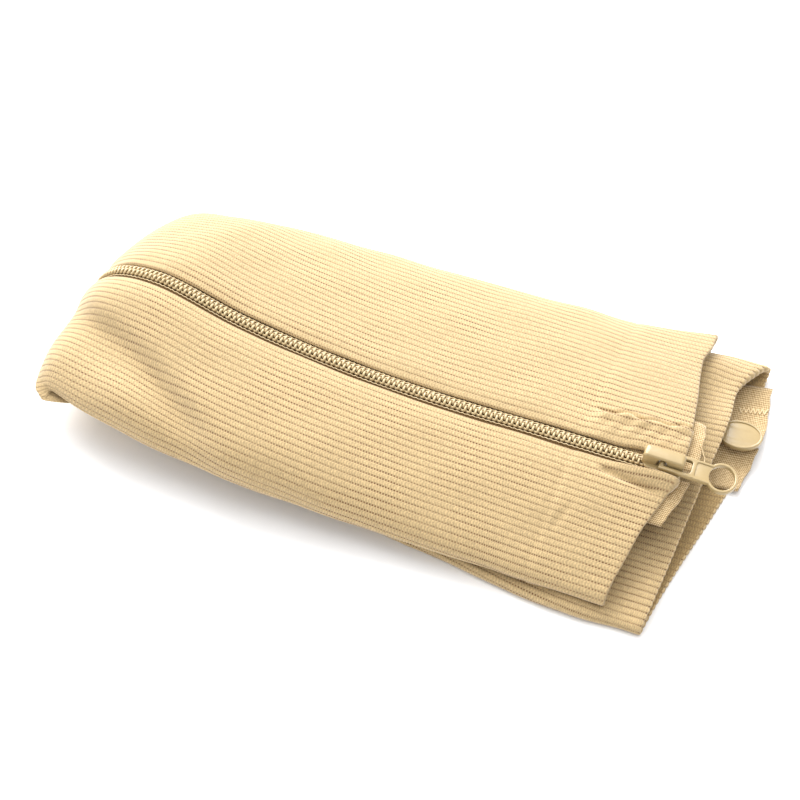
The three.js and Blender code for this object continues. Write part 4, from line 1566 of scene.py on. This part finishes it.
def arc_end(x: float, rx: float, ry: float, neck: float, steps: int = 56) -> list[tuple[float, float]]:
    """An ellipse's outline that is open toward -X, where a neck joins it.

    Args:
        x: Its middle.
        rx: Half its length.
        ry: Half its width.
        neck: Half the neck's width.
        steps: Points on it.

    Returns:
        Points from the neck's lower side round to its upper side.
    """
    turn = math.asin(neck / ry)
    angles = np.linspace(math.pi + turn, 3 * math.pi - turn, steps)
    return [(x + rx * math.cos(a), ry * math.sin(a)) for a in angles]


@dataclass
class Slider:
    """A cast slider with its bridge on the outside of the cloth, or on the inside if it is reversed."""

    tube: FoldedTube
    node: str
    inset: float  # from its mouth
    lower: bool
    bridge_long: float
    bridge_at: float
    bridge_wide: float
    bridge_high: float
    slot: float  # radius of the arch for the pin
    slot_up: float
    pin_x: float
    pin_up: float
    shoulder: float  # rounding of the bridge's ends
    length: float = 12.0
    rear: float = 7.4
    front: float = 8.2
    thick: float = 0.9
    corner: float = 1.6
    upper_at: float = 1.05  # underside of the upper plate, above the cloth's outside
    lower_at: float = -2.65  # upper side of the lower plate
    post_at: float = 3.9
    post_half: tuple[float, float] = (1.2, 1.0)
    post_corner: float = 0.6
    post_edge: float = 0.05
    plate_edge: float = 0.35  # edge radius of the plates
    bridge_edge: float = 0.55
    sunk_in: float = 0.3  # how far the post runs into both plates

    @property
    def sign(self) -> float:
        """1 with the bridge outside the cloth, -1 inside."""
        return -1.0 if self.lower else 1.0

    @property
    def base(self) -> float:
        """The face that the bridge stands on."""
        return self.lower_at - self.thick if self.lower else self.upper_at + self.thick

    def matrix(self) -> Matrix:
        """The slider's frame: x toward its mouth and z out of the cloth.

        Returns:
            The matrix from that frame to the part's, in mm.
        """
        s = self.tube.length - self.inset if self.lower else self.inset
        at, along, _, out = (v[0] for v in self.tube.zip_frames(self.tube.at_length(np.array([s]))))
        x = along if self.lower else -along
        rows = np.column_stack([x, np.cross(out, x), out, at])
        return Matrix([*rows.tolist(), [0, 0, 0, 1]])

    def pin(self) -> Vector:
        """The pin's place in the slider's frame."""
        return Vector((self.pin_x, 0, self.base + self.sign * self.pin_up))

    def build(self, finishes: Finishes) -> bpy.types.Object:
        """Builds and dresses the slider's body.

        Args:
            finishes: The materials.

        Returns:
            The piece.
        """
        x, rear, front = self.length / 2, self.rear / 2, self.front / 2
        corners = [(-x, -rear), (-x * 0.2, -rear), (x, -front), (x, front), (-x * 0.2, rear), (-x, rear)]
        outline = rounded([(a, b, self.corner) for a, b in corners])
        a, b = self.post_half
        around = ((-1, -1), (1, -1), (1, 1), (-1, 1))
        post = rounded([(self.post_at + i * a, j * b, self.post_corner) for i, j in around])
        parts = [
            cast_plate([outline], self.upper_at, self.upper_at + self.thick, self.plate_edge),
            cast_plate([outline], self.lower_at - self.thick, self.lower_at, self.plate_edge),
            cast_plate([post], self.lower_at - self.sunk_in, self.upper_at + self.sunk_in, self.post_edge),
        ]
        low, high = self.bridge_at - self.bridge_long / 2, self.bridge_at + self.bridge_long / 2
        top, turn = self.bridge_high, self.shoulder
        arch = [
            (self.pin_x - self.slot * math.cos(t), self.slot_up + self.slot * math.sin(t), 0.0)
            for t in np.linspace(0, math.pi, 19)
        ]
        foot = -self.thick + 0.1  # the bridge runs down into its plate
        feet = [(self.pin_x - self.slot, foot, 0.0), *arch, (self.pin_x + self.slot, foot, 0.0)]
        ends = [(high, foot, 0.0), (high, top, turn * 0.8), (low, top, turn)]
        side = rounded([(low, foot, 0.0), *feet, *ends], 10)
        loaf = cast_plate([side], -self.bridge_wide / 2, self.bridge_wide / 2, self.bridge_edge)
        stand = Matrix.Translation((0, 0, self.base)) @ Matrix.Rotation(math.radians(90 * self.sign), 4, "X")
        parts.append(moved(loaf, stand))
        points, faces = moved(merged(parts), self.matrix())
        piece = mesh_object(self.node.replace("body", "casting"), points, faces, [finishes.enamel])
        return dressed(piece, Body.SOCK, Slot.METAL, self.node)


@dataclass
class Pull:
    """A cast pull: an eye round the slider's pin, a neck, and a rimmed end."""

    slider: Slider
    node: str
    body: Body
    pin: float  # radius of the pin
    thick: float
    window: float  # half the eye's opening
    arm: float
    window_end: float
    neck: float  # half its width
    end_at: float  # middle of its end
    end_long: float
    end_wide: float
    rest: float  # degrees from the slider's own plane
    rim: float
    recess: float
    edge: float = 0.3  # edge radius
    web_inset: float = 0.35  # the thin web inside the rims ends so far inside the outline
    web_edge: float = 0.04

    def eye(self) -> list[tuple[float, float]]:
        """The opening that goes round the bridge."""
        low, high, half = self.pin * 0.4, self.window_end, self.window
        return rounded([(low, -half, 0.3), (high, -half, 1.1), (high, half, 1.1), (low, half, 0.3)])

    def outline(self, inset: float) -> list[tuple[float, float]]:
        """The pull's outline.

        Args:
            inset: How far inside the true outline.

        Returns:
            Its points.
        """
        half, neck = self.window + self.arm - inset, self.neck - inset
        long, wide = self.end_long - inset, self.end_wide - inset
        end = arc_end(self.end_at, long, wide, neck)
        waist = (self.window_end + end[0][0]) / 2
        rear = -self.pin + inset
        turns = [(rear, -half, 0.6), (self.window_end, -half, 1.1), (waist, -neck, 0.9)]
        path = rounded([(rear, 0, 0), *turns, (*end[0], 0)])
        return path[:-1] + end + mirrored(path[1:-1])

    def sunk(self) -> list[tuple[float, float]]:
        """The outline of the sunk part inside the rim."""
        raise NotImplementedError

    def web_holes(self) -> list:
        """The holes of the thin web between the rims."""
        raise NotImplementedError

    def build(self, finishes: Finishes) -> bpy.types.Object:
        """Builds and dresses the pull.

        Args:
            finishes: The materials.

        Returns:
            The piece.
        """
        half = self.thick / 2
        web = half - self.recess
        parts = [
            cast_plate([self.outline(0), self.eye(), self.sunk()], -half, half, self.edge),
            cast_plate([self.outline(self.web_inset), *self.web_holes()], -web, web, self.web_edge),
            pin_rod(self.pin, 2 * (self.window + self.arm) - 1.0),
        ]
        tilt = Matrix.Rotation(math.radians(self.rest), 4, "Y")
        if self.slider.lower:
            tilt = Matrix.Rotation(math.pi, 4, "X") @ tilt
        place = self.slider.matrix() @ Matrix.Translation(self.slider.pin()) @ tilt
        points, faces = moved(merged(parts), place)
        piece = mesh_object(self.node + "_casting", points, faces, [finishes.enamel])
        return dressed(piece, self.body, Slot.METAL, self.node)


@dataclass
class RingPull(Pull):
    """The upper pull: its end is a ring, with a sunk panel on the neck."""

    panel_from: float = 10.5

    def sunk(self) -> list[tuple[float, float]]:
        """The panel and the ring's hole in one keyhole outline.

        Returns:
            Its points.
        """
        half = self.neck - self.rim
        end = arc_end(self.end_at, self.end_long - self.rim, self.end_wide - self.rim, half, 44)
        path = rounded([(self.panel_from, 0, 0), (self.panel_from, -half, 0.7), (*end[0], 0)])
        return path[:-1] + end + mirrored(path[1:-1])

    def web_holes(self) -> list:
        """The eye and the ring's hole."""
        inner = self.rim - 0.1
        return [self.eye(), oval(self.end_at, 0, self.end_long - inner, self.end_wide - inner)]


@dataclass
class OvalPull(Pull):
    """The lower pull: its end is a solid oval with a raised rim."""

    def sunk(self) -> list[tuple[float, float]]:
        """The oval inside the rim."""
        return oval(self.end_at, 0, self.end_long - self.rim, self.end_wide - self.rim)

    def web_holes(self) -> list:
        """Only the eye."""
        return [self.eye()]


@dataclass
class Zipper:
    """The whole zipper: two tapes, two rows of teeth, and two sliders with their pulls."""

    tube: FoldedTube
    # how much each tape spreads at its lower and upper end, and how far it stands past the upper mouth
    front_ends: tuple[float, float, float] = (4.5, 4.5, 2.5)
    back_ends: tuple[float, float, float] = (11.5, 9.0, 2.8)

    def build(self, finishes: Finishes) -> None:
        """Builds and dresses every piece of the zipper.

        Args:
            finishes: The materials.
        """
        for side in Side:
            low, high, end = self.back_ends if side is Side.BACK else self.front_ends
            ZipperTape(self.tube, side, lower_flare=low, upper_flare=high, upper_end=end).build(finishes)
            CoilRow(self.tube, side).build(finishes)
        straight = FoldedTube()  # the sliders stay on the CAD's line, where the hinges are
        upper = Slider(
            straight, "slider_body", 7.0, lower=False, bridge_long=13.2, bridge_at=-0.35, bridge_wide=4.2,
            bridge_high=4.1, slot=1.5, slot_up=1.4, pin_x=-0.6, pin_up=1.15, shoulder=1.7,
        )
        lower = Slider(
            straight, "lower_slider_body", 21.0, lower=True, bridge_long=9.6, bridge_at=0.0, bridge_wide=4.0,
            bridge_high=2.8, slot=1.0, slot_up=1.3, pin_x=-0.5, pin_up=1.3, shoulder=1.2,
        )
        upper.build(finishes)
        lower.build(finishes)
        RingPull(
            upper, "slider_pull", Body.UPPER_PULL, pin=0.8, thick=1.5, window=2.6, arm=1.3, window_end=9.1,
            neck=3.9, end_at=18.9, end_long=4.95, end_wide=5.8, rest=1.5, rim=0.95, recess=0.35,
        ).build(finishes)
        OvalPull(
            lower, "lower_slider_pull", Body.LOWER_PULL, pin=0.65, thick=1.6, window=2.4, arm=1.3,
            window_end=6.4, neck=3.0, end_at=17.6, end_long=7.4, end_wide=6.0, rest=2.0, rim=0.9, recess=0.35,
        ).build(finishes)


# Studio


@dataclass
class Studio:
    """Pale floor, soft light from above and behind, and a camera at the photograph's angle."""

    azimuth: float = 23.0  # degrees
    elevation: float = 48.0
    distance: float = 600.0
    focal_px: float = 1830.0  # focal length in pixels of an 800-pixel frame
    frame_px: float = 800.0
    aim: tuple[float, float, float] = (0.0, 0.0, 15.0)  # before centring
    sensor: float = 36.0
    ambient: float = 0.88  # strength of the white surroundings
    floor_half: float = 3000.0
    # name, place and side in metres, and watts of each soft box
    lamps: tuple[tuple[str, tuple[float, float, float], float, float], ...] = (
        ("key_box", (-0.7, 0.95, 0.9), 1.3, 52.0),
        ("top_box", (0.15, 0.25, 1.4), 1.3, 10.0),
        ("left_fill", (-1.0, -0.75, 0.55), 1.2, 4.0),
    )

    def camera(self) -> None:
        """Places the camera."""
        a, e = math.radians(self.azimuth), math.radians(self.elevation)
        back = Vector((math.sin(a) * math.cos(e), -math.cos(a) * math.cos(e), math.sin(e)))
        data = bpy.data.cameras.new("camera")
        data.sensor_width = self.sensor
        data.lens = self.focal_px / self.frame_px * self.sensor
        data.clip_start = 0.01
        made = bpy.data.objects.new("camera", data)
        made.location = Vector((np.array(self.aim) + CENTRE) * MM) + back * self.distance * MM
        made.rotation_mode = "QUATERNION"
        made.rotation_quaternion = (-back).to_track_quat("-Z", "Y")
        bpy.context.scene.collection.objects.link(made)
        bpy.context.scene.camera = made

    def lamp(self, name: str, place: tuple[float, float, float], size: float, power: float) -> None:
        """Adds a square soft box that looks at the sock.

        Args:
            name: The light's name.
            place: Where it stands, in metres.
            size: Its side, in metres.
            power: Watts.
        """
        data = bpy.data.lights.new(name, "AREA")
        data.size = size
        data.energy = power
        made = bpy.data.objects.new(name, data)
        made.location = place
        made.rotation_mode = "QUATERNION"
        made.rotation_quaternion = (-Vector(place)).to_track_quat("-Z", "Y")
        bpy.context.scene.collection.objects.link(made)

    def floor(self) -> None:
        """Adds the pale floor."""
        paper = PlainFinish(
            "white_matt_paper",
            colour="#f4f4f5",
            wear_and_shade="#f2f2f3",
            roughness=0.9,
            ior=1.45,
            grain=2.0,
            relief=0.005,
        ).build()
        half = self.floor_half
        corners = np.array([(-half, -half, 0), (half, -half, 0), (half, half, 0), (-half, half, 0)], float)
        mesh_object("floor", corners, [(0, 1, 2, 3)], [paper])

    def build(self) -> None:
        """Builds the studio."""
        self.camera()
        self.floor()
        for name, place, size, power in self.lamps:
            self.lamp(name, place, size, power)
        world = bpy.data.worlds.new("studio")
        world.use_nodes = True
        world.node_tree.nodes["Background"].inputs["Color"].default_value = linear("#ffffff")
        world.node_tree.nodes["Background"].inputs["Strength"].default_value = self.ambient
        scene = bpy.context.scene
        scene.world = world
        scene.view_settings.view_transform = "Standard"
        scene.view_settings.look = "None"


def main() -> None:
    """Builds every piece in order."""
    logging.basicConfig(level=logging.INFO, format="%(name)s %(message)s")
    Studio().build()
    finishes = Finishes()
    tube = FoldedTube(sway=CLOSED_SWAY)
    KnitLeg(tube).build(finishes)
    Zipper(tube).build(finishes)


if __name__ == "__main__":
    main()
